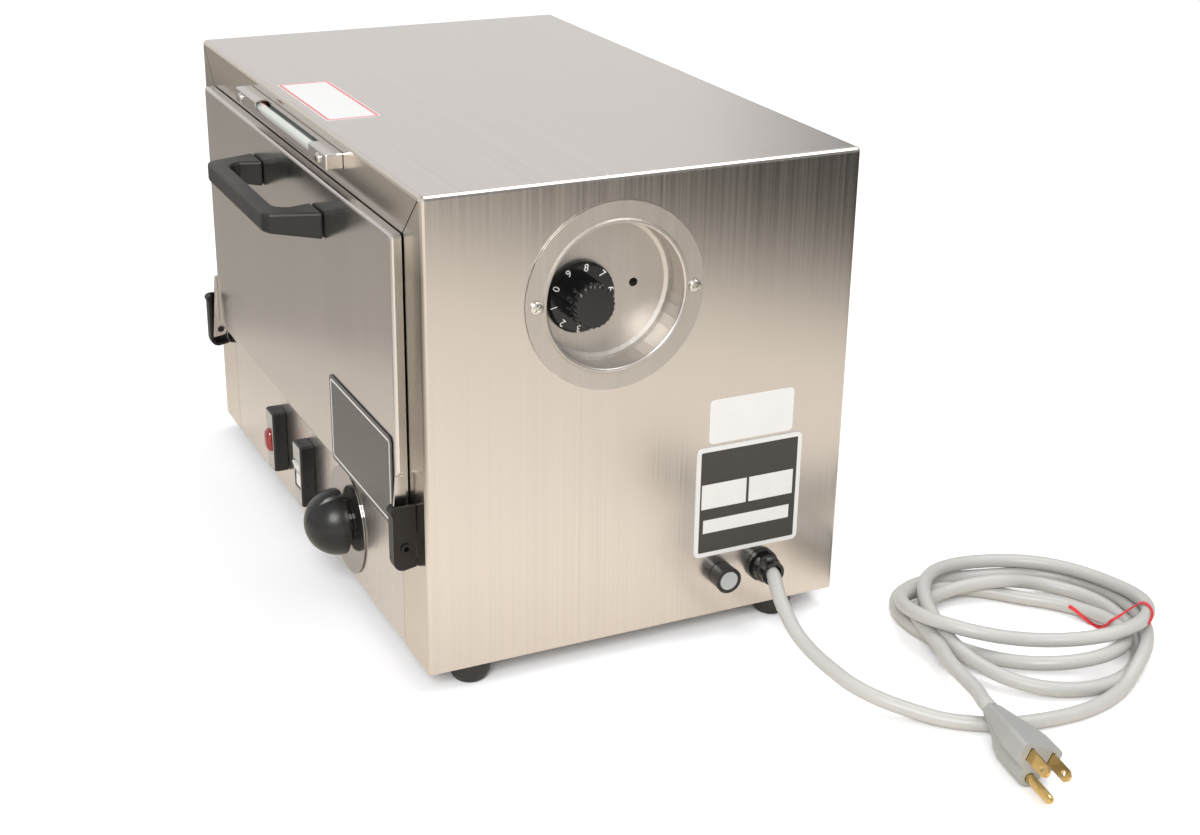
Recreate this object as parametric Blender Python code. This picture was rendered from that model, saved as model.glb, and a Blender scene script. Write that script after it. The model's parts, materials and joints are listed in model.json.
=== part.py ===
"""A bench dry heat sterilizer, in metres, +Z up.

Every piece is modelled in the casing's own frame: X to the right, the front at -Y, Z up from the
underside of the casing. The empty that carries the casing shifts it all, so that the origin lies at
the bottom centre of the machine without its cord.
"""

import math

import bmesh
import bpy
from mathutils import Matrix, Vector

# Clearances
GAP = 0.0003  # between pieces that touch
OVERRUN = 0.004  # how far a cutter runs past the face it cuts
MERGE = 0.000001

# Casing: one folded wrap, a rear panel and a base pan
CASE_WIDTH = 0.390
CASE_DEPTH = 0.242
CASE_HEIGHT = 0.254
SHEET = 0.001
BEND_RADIUS = 0.0025
FRONT_RETURN = 0.0361
REAR_RETURN = 0.013
MITRE_SLIT = 0.0005
REAR_PANEL_INSET = 0.0044
PANEL_CORNER_RADIUS = 0.004
BASE_FLANGE = 0.0105

# Control panel under the door
CONTROL_PANEL_BOTTOM = 0.001
CONTROL_PANEL_TOP = 0.081
CONTROL_PANEL_RETURN = 0.007

# Rubber feet
FOOT_RADIUS = 0.0114
FOOT_HEIGHT = 0.0117
FOOT_FACE_RADIUS = 0.0078
FOOT_SHOULDER = 0.003
FOOT_BULGE = 0.0107
FOOT_SIDE_INSET = 0.0116
FOOT_FRONT_INSET = 0.0265
FOOT_REAR_INSET = 0.0330

# Door: folded outer pan with a plug panel behind it
DOOR_SIDE_LAP = 0.0125  # over the casing's side returns
DOOR_BOTTOM_LAP = 0.0098  # over the control panel
DOOR_TOP_LAP = 0.0116  # over the casing's top return
DOOR_DEPTH = 0.0058
DOOR_SHEET = 0.001
DOOR_BEND = 0.0018
DOOR_CLEARANCE = 0.0007
INNER_PANEL_RECESS = 0.0012
PLUG_PLAY = 0.006
PLUG_DEPTH = 0.0165
PLUG_BEND = 0.003
GASKET_INSET = 0.0025
GASKET_WIDTH = 0.0052

# Hinges
HINGE_DEPTH = 0.006  # pin axis in front of the casing
HINGE_DROP = 0.0036  # pin axis under the door
PIN_RADIUS = 0.0019
PIN_HEAD_RADIUS = 0.0028
PIN_HEAD = 0.0007
PIN_BORE_RADIUS = 0.0015
PIN_BORE_DEPTH = 0.003
ARM_THICKNESS = 0.0016
ARM_RISE = 0.0368
ARM_TOP_WIDTH = 0.0048
ARM_TOP_SETBACK = 0.0012
ARM_FOOT_FRONT = 0.0052
ARM_FOOT_REAR = 0.0040
ARM_FOOT_DROP = 0.0052
ARM_HEEL_DROP = 0.0038
COVER_CLEARANCE = 0.0005
COVER_WIDTH = 0.0069
COVER_FRONT = 0.0125
COVER_DROP = 0.0123
COVER_RISE = 0.0232
COVER_WALL = 0.0018
COVER_BOTTOM_RADIUS = 0.005
COVER_TOP_RADIUS = 0.003
COVER_LIP = 0.0010
COVER_LIP_HEIGHT = 0.005

# Handle
HANDLE_HALF_BAR = 0.0596
HANDLE_FOOT_FLARE = 0.0074
HANDLE_LEG_WIDTH = 0.0146
HANDLE_REACH = 0.030
HANDLE_THICKNESS = 0.0096
HANDLE_DROP = 0.0172  # from the door's top edge
HANDLE_FOOT_HEIGHT = 0.0148
HANDLE_BAR_HEIGHT = 0.0105
HANDLE_OUTER_RADIUS = 0.007
HANDLE_INNER_RADIUS = 0.009
HANDLE_EDGE = 0.0014

# Plates on the door and on the side
PLATE_THICKNESS = 0.0006
PLATE_CORNER_RADIUS = 0.003
DOOR_PLATE_WIDTH = 0.0983
DOOR_PLATE_HEIGHT = 0.0500
DOOR_PLATE_SIDE_INSET = 0.0052
DOOR_PLATE_BOTTOM_INSET = 0.0015
RATING_PLATE_REAR_INSET = 0.0265
RATING_PLATE_BOTTOM = 0.0365
RATING_PLATE_SIZE = 0.0635

# Thermometer on the upper front return
THERMOMETER_HALF = 0.084
THERMOMETER_DROP = 0.0060  # from the casing's top
THERMOMETER_HEIGHT = 0.0087
THERMOMETER_DEPTH = 0.0092
THERMOMETER_WALL = 0.001
THERMOMETER_BEND = 0.0009
WINDOW_LEFT = -0.0444
WINDOW_RIGHT = 0.0557
WINDOW_BACK = 0.0022
TUBE_RADIUS = 0.0029
TUBE_END_GAP = 0.018
THERMOMETER_SCREW_INSET = 0.011
SCREW_HEAD_RADIUS = 0.0028
SCREW_HEAD_HEIGHT = 0.0014
SCREW_SHANK_RADIUS = 0.0015
SCREW_SHANK = 0.0055

# Lamp and switch, which share one bezel
BEZEL_WIDTH = 0.0144
BEZEL_HEIGHT = 0.0385
BEZEL_DEPTH = 0.0084
BEZEL_CORNER_RADIUS = 0.0008
BEZEL_CHAMFER = 0.0012
BEZEL_RIM = 0.0014
FACE_RECESS = 0.0003
FACE_THICKNESS = 0.001
SNAP_BODY_WIDTH = 0.0112
SNAP_BODY_HEIGHT = 0.033
SNAP_BODY_DEPTH = 0.016
BEZEL_CENTRE_HEIGHT = 0.0350
LAMP_CENTRE = -0.0546
SWITCH_CENTRE = 0.0013
LENS_WIDTH = 0.0104
LENS_HEIGHT = 0.0152
LENS_RISE = 0.0026
LENS_SKIRT = 0.0008
ROCKER_WIDTH = 0.0094
ROCKER_HEIGHT = 0.0152
ROCKER_CREASE = 0.0012
ROCKER_PROUD = 0.0010
ROCKER_BACK = 0.0052
ROCKER_BACK_HEIGHT = 0.0070
ROCKER_SIDE_PLAY = 0.0004
ROCKER_END_PLAY = 0.0009
ROCKER_BACK_PLAY = 0.0012
ROCKER_TILT_DEG = 8.0

# Timer
TIMER_CENTRE = 0.0679
TIMER_HEIGHT = 0.0331
TIMER_BODY_SIZE = 0.040
TIMER_BODY_DEPTH = 0.026
TIMER_BUSH_RADIUS = 0.0048
DIAL_RADIUS = 0.0309
DIAL_THICKNESS = 0.0007
COLLAR_RADIUS = 0.0125
COLLAR_DEPTH = 0.0024
COLLAR_EDGE = 0.0006
KNOB_RADIUS = 0.0201
KNOB_BACK = 0.0044  # knob's back in front of the panel
KNOB_DEPTH = 0.0206
KNOB_SKIRT = 0.0022
KNOB_CROWN_RADIUS = 0.0066
KNOB_RIDGE_HALF = 0.0024
KNOB_RIDGE_START = 0.0036
KNOB_FACET_SIDE_SHARE = 0.54
KNOB_FACET_FALL_SHARE = 0.32
KNOB_POINTER_DEG = 12.0
SHAFT_RADIUS = 0.003
SHAFT_BORE_DEPTH = 0.012
SHAFT_END_PLAY = 0.0006

# Thermostat in its round well in the right side
WELL_CENTRE = -0.0187
WELL_DROP = 0.0619  # from the casing's top
WELL_RADIUS = 0.0383
WELL_DEPTH = 0.0174
WELL_SHEET = 0.0009
WELL_FLANGE_RADIUS = 0.0492
WELL_LIP = 0.0022
WELL_LIP_RISE = 0.0012
WELL_FLOOR_RADIUS = 0.003
WELL_SCREW_SPREAD = 0.0437
WELL_HOLE_CLEARANCE = 0.001
WELL_EYE_OFFSET = 0.0178
WELL_EYE_RADIUS = 0.0024
THERMOSTAT_FORWARD = 0.0126  # of the well's centre
THERMOSTAT_DROP = 0.0033
THERMOSTAT_SIZE = 0.034
THERMOSTAT_DEPTH = 0.0145
DIAL_KNOB_RADIUS = 0.0187
DIAL_KNOB_TAPER = 0.0014
DIAL_KNOB_SKIRT = 0.0024
DIAL_KNOB_CLEARANCE = 0.0018
GRIP_RADIUS = 0.0116
GRIP_HEIGHT = 0.0155
GRIP_EDGE = 0.0014
GRIP_FLUTE = 0.0006
GRIP_FLUTE_COUNT = 24
PROBE_RADIUS = 0.0035
PROBE_REACH = 0.045

# Reset breaker
BREAKER_REAR_INSET = 0.0727
BREAKER_HEIGHT = 0.0235
BREAKER_THREAD_RADIUS = 0.0052
BREAKER_FLANGE_RADIUS = 0.0071
BREAKER_TIP_RADIUS = 0.0074
BREAKER_PROUD = 0.0094
BREAKER_WALL = 0.0018
BREAKER_BODY_RADIUS = 0.0085
BREAKER_BODY_DEPTH = 0.022
BUTTON_STEM_RADIUS = 0.0022
BUTTON_DISC = 0.0022

# Cord gland
GLAND_REAR_INSET = 0.0475
GLAND_HEIGHT = 0.0244
GLAND_FLANGE_RADIUS = 0.0092
GLAND_FLANGE = 0.0026
GLAND_BODY_RADIUS = 0.0078
GLAND_MOUTH_RADIUS = 0.0068
GLAND_PROUD = 0.0135
GLAND_SHOULDER = 0.0085
GLAND_THREAD_RADIUS = 0.0062
GLAND_TAIL = 0.008
GLAND_SOCKET = 0.007
GLAND_CORD_PLAY = 0.001

# Chamber, insulation, element, rails and trays
CHAMBER_SIDE_SPACE = 0.0515  # from the cavity to the casing's outside
CHAMBER_TOP_SPACE = 0.0445
CHAMBER_REAR_SPACE = 0.0375
CHAMBER_SILL = 0.0105  # over the control panel
CHAMBER_CORNER_RADIUS = 0.003
LINER_SHEET = 0.0008
LINER_FLANGE_LAP = 0.003
INSULATION_CLEARANCE = 0.003  # to the thermostat's body
ELEMENT_RADIUS = 0.0032
ELEMENT_SIDE_GAP = 0.0393
ELEMENT_PITCH = 0.042
ELEMENT_RUN_COUNT = 4
ELEMENT_TURN_POINTS = 8
ELEMENT_LEG_PROUD = 0.007  # below the wool
ELEMENT_HOLE_CLEARANCE = 0.003
RAIL_SHEET = 0.001
RAIL_LEDGE = 0.007
RAIL_RISE = 0.0105
RAIL_HEAD = 0.0135  # above the upper ledge
RAIL_FRONT_INSET = 0.020
RAIL_REAR_INSET = 0.004
TRAY_LEVEL_SHARES = (0.17, 0.534)  # of the cavity's height
TRAY_SIDE_PLAY = 0.001
TRAY_RIM = 0.012
TRAY_SHEET = 0.001
TRAY_CORNER_RADIUS = 0.002
TRAY_FRONT_GAP = 0.033
TRAY_REAR_GAP = 0.002
TRAY_SLOT_WIDTH = 0.005
TRAY_SLOT_BRIDGE = 0.0039
TRAY_SLOT_COLUMNS = 9
TRAY_SLOT_ROWS = 3
TRAY_SLOT_MARGIN = 0.014

# Mains cord, its coil and its plug
CORD_RADIUS = 0.0039
CORD_FLOOR_CLEARANCE = 0.0001
COIL_CENTRE_RIGHT = 0.2635
COIL_CENTRE_BACK = 0.2140
COIL_OUTER_RADIUS = 0.0740
COIL_INNER_RADIUS = 0.0440
COIL_HEIGHT = 0.0225
COIL_EDGE = 0.003
PLUG_RIGHT = 0.3912
PLUG_BACK = 0.1146
PLUG_HEIGHT = 0.0045
PLUG_HEADING_DEG = -8.3
PLUG_PITCH_DEG = -1.0
PLUG_ROLL_DEG = -21.8
PLUG_BODY_WIDTH = 0.0235
PLUG_BODY_TOP = 0.0052
PLUG_BODY_SHOULDER = 0.0052
PLUG_LOBE_RADIUS = 0.0056
PLUG_BODY_CORNER = 0.0016
PLUG_BODY_LENGTH = 0.0465
PLUG_NECK_RADIUS = 0.0049
PLUG_NECK_DROP = 0.0022
# How far back from the face each section lies, and how far its body and its lobe have turned into the neck
PLUG_STATION_SHARES = (
    (0.0, 0.04, 0.04),
    (0.035, 0.0, 0.0),
    (0.32, 0.03, 0.0),
    (0.50, 0.27, 0.02),
    (0.60, 0.42, 0.12),
    (0.71, 0.58, 0.46),
    (0.85, 0.78, 0.74),
    (1.0, 1.0, 1.0),
)
BLADE_SPACING = 0.0127
BLADE_WIDTH = 0.0063
BLADE_THICKNESS = 0.0015
BLADE_LENGTH = 0.0173
BLADE_ROOT = 0.004
BLADE_HOLE_RADIUS = 0.0016
BLADE_HOLE_SETBACK = 0.0048
GROUND_DROP = 0.0119
GROUND_RADIUS = 0.0024
GROUND_LENGTH = 0.0205

# Facets
ROUND_SIDES = 28
WELL_SIDES = 40
SMALL_SIDES = 12
CORNER_STEPS = 3
BEND_STEPS = 3

# Places worked out from the sizes above
FRONT = -CASE_DEPTH / 2
BACK = CASE_DEPTH / 2
SIDE = CASE_WIDTH / 2
RETURN_EDGE = SIDE - FRONT_RETURN
RETURN_BOTTOM = CASE_HEIGHT - FRONT_RETURN
PANEL_HALF = RETURN_EDGE - GAP
FOOT_SPREAD = SIDE - FOOT_SIDE_INSET
FOOT_FRONT = FRONT + FOOT_FRONT_INSET
FOOT_REAR = BACK - FOOT_REAR_INSET
DOOR_HALF = RETURN_EDGE + DOOR_SIDE_LAP
DOOR_BOTTOM = CONTROL_PANEL_TOP - DOOR_BOTTOM_LAP
DOOR_TOP = RETURN_BOTTOM + DOOR_TOP_LAP
DOOR_BACK = FRONT - DOOR_CLEARANCE
DOOR_FACE = DOOR_BACK - DOOR_DEPTH
HINGE_Y = FRONT - HINGE_DEPTH
HINGE_HEIGHT = DOOR_BOTTOM - HINGE_DROP
COVER_BOTTOM = HINGE_HEIGHT - COVER_DROP
COVER_TOP = HINGE_HEIGHT + COVER_RISE
HANDLE_HALF_FOOT = HANDLE_HALF_BAR + HANDLE_FOOT_FLARE
HANDLE_GRIP_HALF = HANDLE_HALF_BAR - HANDLE_LEG_WIDTH
HANDLE_TOP = DOOR_TOP - HANDLE_DROP
HANDLE_FOOT_BOTTOM = HANDLE_TOP - HANDLE_FOOT_HEIGHT
DOOR_PLATE_RIGHT = DOOR_HALF - DOOR_PLATE_SIDE_INSET
DOOR_PLATE_BOTTOM = DOOR_BOTTOM + DOOR_PLATE_BOTTOM_INSET
RATING_PLATE_REAR = BACK - RATING_PLATE_REAR_INSET
THERMOMETER_TOP = CASE_HEIGHT - THERMOMETER_DROP
THERMOMETER_BOTTOM = THERMOMETER_TOP - THERMOMETER_HEIGHT
TUBE_HALF = THERMOMETER_HALF - TUBE_END_GAP
SMALL_SCREW_SPREAD = THERMOMETER_HALF - THERMOMETER_SCREW_INSET
BEZEL_FACE = FRONT - GAP - BEZEL_DEPTH
FACE_FRONT = BEZEL_FACE + BEZEL_CHAMFER + FACE_RECESS
FACE_BACK = FACE_FRONT + FACE_THICKNESS
WELL_FACE = SIDE + GAP + WELL_SHEET
WELL_FLOOR = WELL_FACE - WELL_DEPTH
WELL_HEIGHT = CASE_HEIGHT - WELL_DROP
THERMOSTAT_CENTRE = WELL_CENTRE - THERMOSTAT_FORWARD
THERMOSTAT_HEIGHT = WELL_HEIGHT - THERMOSTAT_DROP
THERMOSTAT_FRONT = WELL_FLOOR - WELL_SHEET - GAP
THERMOSTAT_BACK = THERMOSTAT_FRONT - THERMOSTAT_DEPTH
BREAKER_CENTRE = BACK - BREAKER_REAR_INSET
GLAND_CENTRE = BACK - GLAND_REAR_INSET
CHAMBER_HALF_WIDTH = SIDE - CHAMBER_SIDE_SPACE
CHAMBER_BOTTOM = CONTROL_PANEL_TOP + CHAMBER_SILL
CHAMBER_TOP = CASE_HEIGHT - CHAMBER_TOP_SPACE
CHAMBER_BACK = BACK - CHAMBER_REAR_SPACE
LINER_FRONT = FRONT + SHEET + GAP
LINER_HALF = CHAMBER_HALF_WIDTH + LINER_SHEET
LINER_FLOOR = CHAMBER_BOTTOM - LINER_SHEET
LINER_CEILING = CHAMBER_TOP + LINER_SHEET
INSULATION_FRONT = FRONT + SHEET + CONTROL_PANEL_RETURN + GAP
INSULATION_THICKNESS = THERMOSTAT_BACK - INSULATION_CLEARANCE - LINER_HALF - GAP
ELEMENT_HALF_RUN = LINER_HALF - ELEMENT_SIDE_GAP
ELEMENT_HEIGHT = LINER_FLOOR - GAP - ELEMENT_RADIUS
INSULATION_FLOOR = ELEMENT_HEIGHT - ELEMENT_RADIUS - GAP
RAIL_OUTER = CHAMBER_HALF_WIDTH - GAP
RAIL_FACE = RAIL_OUTER - RAIL_SHEET
TRAY_LEVELS = [CHAMBER_BOTTOM + (CHAMBER_TOP - CHAMBER_BOTTOM) * share for share in TRAY_LEVEL_SHARES]
RAIL_BOTTOM = CHAMBER_BOTTOM + RAIL_RISE
RAIL_TOP = TRAY_LEVELS[-1] + RAIL_HEAD
FLOOR = -GAP - FOOT_HEIGHT
GLAND_TIP = SIDE + GAP + GLAND_PROUD
COVER_INNER = DOOR_HALF + GAP + ARM_THICKNESS + COVER_CLEARANCE
COVER_OUTER = COVER_INNER + COVER_WIDTH
HANDLE_FACE = DOOR_FACE - HANDLE_REACH

# The machine's outermost faces, which put the origin at its bottom centre
MACHINE_RIGHT = GLAND_TIP
MACHINE_BACK = BACK + GAP + SHEET
ORIGIN_X = (MACHINE_RIGHT - SIDE) / 2
ORIGIN_Y = (HANDLE_FACE + MACHINE_BACK) / 2

# The cord from the gland to its coil, in the casing's frame; its height follows each point
LEAD_ROUTE = (
    (0.2020, 0.0735, 0.0244),
    (0.2085, 0.0734, 0.0240),
    (0.2160, 0.0713, 0.0210),
    (0.2235, 0.0694, 0.0172),
    (0.2330, 0.0681, 0.0128),
    (0.2424, 0.0673, 0.0089),
    (0.2518, 0.0678, 0.0055),
    (0.2636, 0.0688, 0.0030),
    (0.2780, 0.0711, 0.0008),
    (0.2908, 0.0738, -0.0008),
    (0.3053, 0.0817, -0.0032),
    (0.3180, 0.0938, -0.0062),
    (0.3283, 0.1046, -0.0079),
    (0.3378, 0.1168, -0.0080),
    (0.3454, 0.1327, -0.0080),
    (0.3497, 0.1525, -0.0080),
    (0.3508, 0.1724, -0.0080),
    (0.3478, 0.1910, -0.0080),
    (0.3412, 0.2080, -0.0080),
)
# The cord from its coil to the plug's neck, where it ends
TAIL_ROUTE = (
    (0.2775, 0.1375, 0.0000),
    (0.2880, 0.1340, 0.0001),
    (0.2992, 0.1312, 0.0003),
    (0.3150, 0.1284, 0.0010),
    (0.3260, 0.1259, 0.0020),
)
LEAD_POINTS_PER_SPAN = 2
# The coordinates that lie across, up and along for each axis
PLANES = {"X": "yzx", "Y": "xzy", "Z": "xyz"}

STEEL = ((0.62, 0.60, 0.57), 0.30, 1.0)
MIRROR_STEEL = ((0.68, 0.66, 0.62), 0.12, 1.0)
DULL_STEEL = ((0.52, 0.51, 0.49), 0.42, 1.0)
SILVER_FACE = ((0.55, 0.55, 0.54), 0.35, 0.9)
BLACK_PLASTIC = ((0.018, 0.018, 0.019), 0.42, 0.0)
GLOSS_BLACK = ((0.010, 0.010, 0.011), 0.18, 0.0)
DARK_PLASTIC = ((0.040, 0.036, 0.034), 0.45, 0.0)
BLACK_RUBBER = ((0.014, 0.014, 0.015), 0.55, 0.0)
RED_LENS = ((0.45, 0.02, 0.02), 0.10, 0.0)
WHITE_PLASTIC = ((0.72, 0.73, 0.73), 0.30, 0.0)
WHITE_WOOL = ((0.80, 0.78, 0.72), 0.95, 0.0)
SILICONE = ((0.42, 0.07, 0.05), 0.60, 0.0)
GLASS = ((0.86, 0.88, 0.88), 0.08, 0.0)
PLATE_BLACK = ((0.05, 0.05, 0.05), 0.35, 0.0)
ELEMENT_STEEL = ((0.20, 0.19, 0.18), 0.50, 1.0)
CORD_GREY = ((0.46, 0.45, 0.43), 0.45, 0.0)
PLUG_GREY = ((0.40, 0.42, 0.42), 0.40, 0.0)
BRASS = ((0.72, 0.52, 0.20), 0.25, 1.0)


def clear_scene():
    """The startup scene's objects go, so that only the machine is left."""
    for obj in list(bpy.data.objects):
        bpy.data.objects.remove(obj, do_unlink=True)


def material(name, finish):
    colour, roughness, metallic = finish
    made = bpy.data.materials.new(name)
    made.use_nodes = True
    shader = made.node_tree.nodes["Principled BSDF"]
    shader.inputs["Base Color"].default_value = (*colour, 1.0)
    shader.inputs["Roughness"].default_value = roughness
    shader.inputs["Metallic"].default_value = metallic
    made.diffuse_color = (*colour, 1.0)
    return made


def empty(name, place, parent=None, turn=(0.0, 0.0, 0.0)):
    """A carrier for a group of pieces, at a place in the casing's frame."""
    made = bpy.data.objects.new(name, None)
    bpy.context.scene.collection.objects.link(made)
    made.parent = parent
    made.location = place
    made.rotation_euler = turn
    made["place"] = tuple(place) if parent else (0.0, 0.0, 0.0)
    return made


def link(name, data, parent, origin):
    obj = bpy.data.objects.new(name, data)
    bpy.context.scene.collection.objects.link(obj)
    obj.parent = parent
    obj.location = Vector(origin) - Vector(parent["place"])
    return obj


def node(name, bm, finish, parent, origin=(0.0, 0.0, 0.0)):
    """One named piece, modelled in the casing's frame, with its own origin point there."""
    bmesh.ops.translate(bm, verts=bm.verts, vec=-Vector(origin))
    mesh = bpy.data.meshes.new(name)
    bm.to_mesh(mesh)
    bm.free()
    mesh.materials.append(material(name, finish))
    mesh.shade_smooth()
    mesh.set_sharp_from_angle(angle=math.radians(32))
    return link(name, mesh, parent, origin)


def boolean(obj, bm, operation):
    """Cuts a mesh out of a piece, or joins it to the piece, in the casing's frame."""
    mesh = bpy.data.meshes.new(obj.name + "_tool")
    bm.to_mesh(mesh)
    bm.free()
    tool = link(obj.name + "_tool", mesh, obj.parent, obj.parent["place"])
    tool.location = -Vector(obj.parent["place"])
    tool.hide_render = True
    tool.display_type = "WIRE"
    step = obj.modifiers.new(operation.lower(), "BOOLEAN")
    step.operation = operation
    step.solver = "EXACT"
    step.object = tool


def cut(obj, *tools):
    for bm in tools:
        boolean(obj, bm, "DIFFERENCE")


def join(obj, *tools):
    for bm in tools:
        boolean(obj, bm, "UNION")


def point(axis, across, up, along):
    """The 3-D point at (across, up) in the plane normal to an axis, at a distance along it."""
    place = dict(zip(PLANES[axis], (across, up, along)))
    return Vector((place["x"], place["y"], place["z"]))


def tidy(bm):
    bmesh.ops.remove_doubles(bm, verts=bm.verts, dist=MERGE)
    bmesh.ops.recalc_face_normals(bm, faces=bm.faces)
    return bm


def loft(rings):
    """A solid through rings with the same number of points, capped at both ends."""
    bm = bmesh.new()
    loops = [[bm.verts.new(place) for place in ring] for ring in rings]
    for low, high in zip(loops, loops[1:]):
        for i in range(len(low)):
            j = (i + 1) % len(low)
            bm.faces.new((low[i], low[j], high[j], high[i]))
    bm.faces.new(loops[0])
    bm.faces.new(loops[-1][::-1])
    return tidy(bm)


def prism(outline, axis, low, high):
    """An outline in the plane normal to an axis, extruded between two places along it."""
    return loft([[point(axis, across, up, along) for across, up in outline] for along in (low, high)])


def box(low, high):
    """A plain block between two corners."""
    bm = bmesh.new()
    bmesh.ops.create_cube(bm, size=1)
    low, high = Vector(low), Vector(high)
    for vert in bm.verts:
        share = vert.co + Vector((0.5, 0.5, 0.5))
        vert.co = low + Vector(a * b for a, b in zip(share, high - low))
    return bm


def together(*parts):
    """Several separate meshes as one, to cut with in one step."""
    bm = bmesh.new()
    for part in parts:
        mesh = bpy.data.meshes.new("part")
        part.to_mesh(mesh)
        part.free()
        bm.from_mesh(mesh)
        bpy.data.meshes.remove(mesh)
    return bm


def arc(across, up, radius, start_deg, end_deg, steps):
    """Points of an arc in an outline, both ends included."""
    points = []
    for i in range(steps + 1):
        angle = math.radians(start_deg + (end_deg - start_deg) * i / steps)
        points.append((across + radius * math.cos(angle), up + radius * math.sin(angle)))
    return points


def circle(across, up, radius, sides):
    return arc(across, up, radius, 0, 360, sides)[:-1]


def rounded(across, up, width, height, radius, steps=CORNER_STEPS):
    """A rectangle about a centre with round corners; as wide as its corners allow, it is a circle."""
    points = []
    reach_x = width / 2 - radius
    reach_y = height / 2 - radius
    for quarter, (sign_x, sign_y) in enumerate(((1, 1), (-1, 1), (-1, -1), (1, -1))):
        start = 90 * quarter
        corner = (across + sign_x * reach_x, up + sign_y * reach_y)
        points += arc(*corner, radius, start, start + 90, steps)
    return points


def stack(axis, centre, sections, steps=CORNER_STEPS):
    """A solid lofted through round-cornered rectangles: (along, width, height, corner radius) each."""
    rings = []
    for along, width, height, radius in sections:
        outline = rounded(*centre, width, height, radius, steps)
        rings.append([point(axis, across, up, along) for across, up in outline])
    return loft(rings)


def disc(along, radius):
    """A round section for a stack."""
    return (along, 2 * radius, 2 * radius, radius)


def turned(axis, centre, profile, sides=ROUND_SIDES):
    """A solid of revolution. Its profile is (radius, along) points; one off the axis closes on itself."""
    bm = bmesh.new()
    middle = point(axis, *centre, 0)
    out = point(axis, 1, 0, 0)
    along = point(axis, 0, 0, 1)
    verts = [bm.verts.new(middle + out * radius + along * place) for radius, place in profile]
    edges = [bm.edges.new(pair) for pair in zip(verts, verts[1:])]
    if profile[0][0] > 0:
        edges.append(bm.edges.new((verts[-1], verts[0])))
    bmesh.ops.spin(
        bm, geom=verts + edges, cent=middle, axis=along, angle=math.tau, steps=sides, use_merge=True
    )
    return tidy(bm)


def rod(axis, across, up, radius, low, high, sides=SMALL_SIDES):
    return prism(circle(across, up, radius, sides), axis, low, high)


def folded_box(half_width, half_depth, bottom, top, radius):
    """A block whose upright and upper edges are bent round, open to be hollowed from below."""
    bm = box((-half_width, -half_depth, bottom), (half_width, half_depth, top))
    middle = (bottom + top) / 2
    bent = [edge for edge in bm.edges if max(vert.co.z for vert in edge.verts) > middle]
    bmesh.ops.bevel(
        bm, geom=bent, offset=radius, offset_type="OFFSET", segments=BEND_STEPS, profile=0.5, affect="EDGES"
    )
    bmesh.ops.recalc_face_normals(bm, faces=bm.faces)
    return bm


def screw_solid(axis, centre, face, out, head_radius, head_height, shank_radius, shank):
    """A domed screw whose head seats on a face and points out (+1 or -1) along an axis."""
    seat = face + out * GAP
    profile = [
        (0, face - out * shank),
        (shank_radius, face - out * shank),
        (shank_radius, seat),
        (head_radius, seat),
        (head_radius, seat + out * head_height / 3),
        (head_radius * 3 / 4, seat + out * head_height * 4 / 5),
        (0, seat + out * head_height),
    ]
    return turned(axis, centre, profile, SMALL_SIDES)


def casing_wrap(machine):
    """Top and two sides in one sheet, with returns round the front and the rear openings."""
    wrap = node(
        "casing_wrap", folded_box(SIDE, BACK, 0, CASE_HEIGHT, BEND_RADIUS), STEEL, machine
    )
    inner = folded_box(
        SIDE - SHEET, BACK - SHEET, -OVERRUN, CASE_HEIGHT - SHEET, BEND_RADIUS - SHEET
    )
    front = box((-RETURN_EDGE, FRONT - OVERRUN, -OVERRUN), (RETURN_EDGE, 0, RETURN_BOTTOM))
    rear_half = SIDE - REAR_RETURN
    rear = box((-rear_half, 0, -OVERRUN), (rear_half, BACK + OVERRUN, CASE_HEIGHT - REAR_RETURN))
    cut(wrap, inner, front, rear, together(*mitre_slits()), together(*wrap_holes()))


def mitre_slits():
    """The 45 degree slits where the side returns meet the top return."""
    slits = []
    half = MITRE_SLIT / 2
    for side in (-1, 1):
        start = (side * (RETURN_EDGE - OVERRUN), RETURN_BOTTOM - OVERRUN)
        end = (side * (SIDE - BEND_RADIUS), CASE_HEIGHT - BEND_RADIUS)
        outline = [
            (start[0] + side * half, start[1] - half),
            (end[0] + side * half, end[1] - half),
            (end[0] - side * half, end[1] + half),
            (start[0] - side * half, start[1] + half),
        ]
        slits.append(prism(outline, "Y", FRONT - OVERRUN, FRONT + SHEET + GAP))
    return slits


def wrap_holes():
    """Holes in the right side for the well, breaker and gland, and in the front for the screws."""
    reach = (SIDE - SHEET - OVERRUN, SIDE + OVERRUN)
    well_hole = WELL_RADIUS + WELL_SHEET + WELL_HOLE_CLEARANCE
    holes = [
        rod("X", WELL_CENTRE, WELL_HEIGHT, well_hole, *reach, ROUND_SIDES),
        rod("X", BREAKER_CENTRE, BREAKER_HEIGHT, BREAKER_THREAD_RADIUS + GAP, *reach),
        rod("X", GLAND_CENTRE, GLAND_HEIGHT, GLAND_THREAD_RADIUS + GAP, *reach),
    ]
    for side in (-1, 1):
        place = WELL_CENTRE + side * WELL_SCREW_SPREAD
        holes.append(rod("X", place, WELL_HEIGHT, SCREW_SHANK_RADIUS + GAP, *reach))
        place = side * SMALL_SCREW_SPREAD
        hole_reach = (FRONT - OVERRUN, FRONT + SHEET + OVERRUN)
        height = (THERMOMETER_BOTTOM + THERMOMETER_TOP) / 2
        holes.append(rod("Y", place, height, SCREW_SHANK_RADIUS + GAP, *hole_reach))
    return holes


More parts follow.
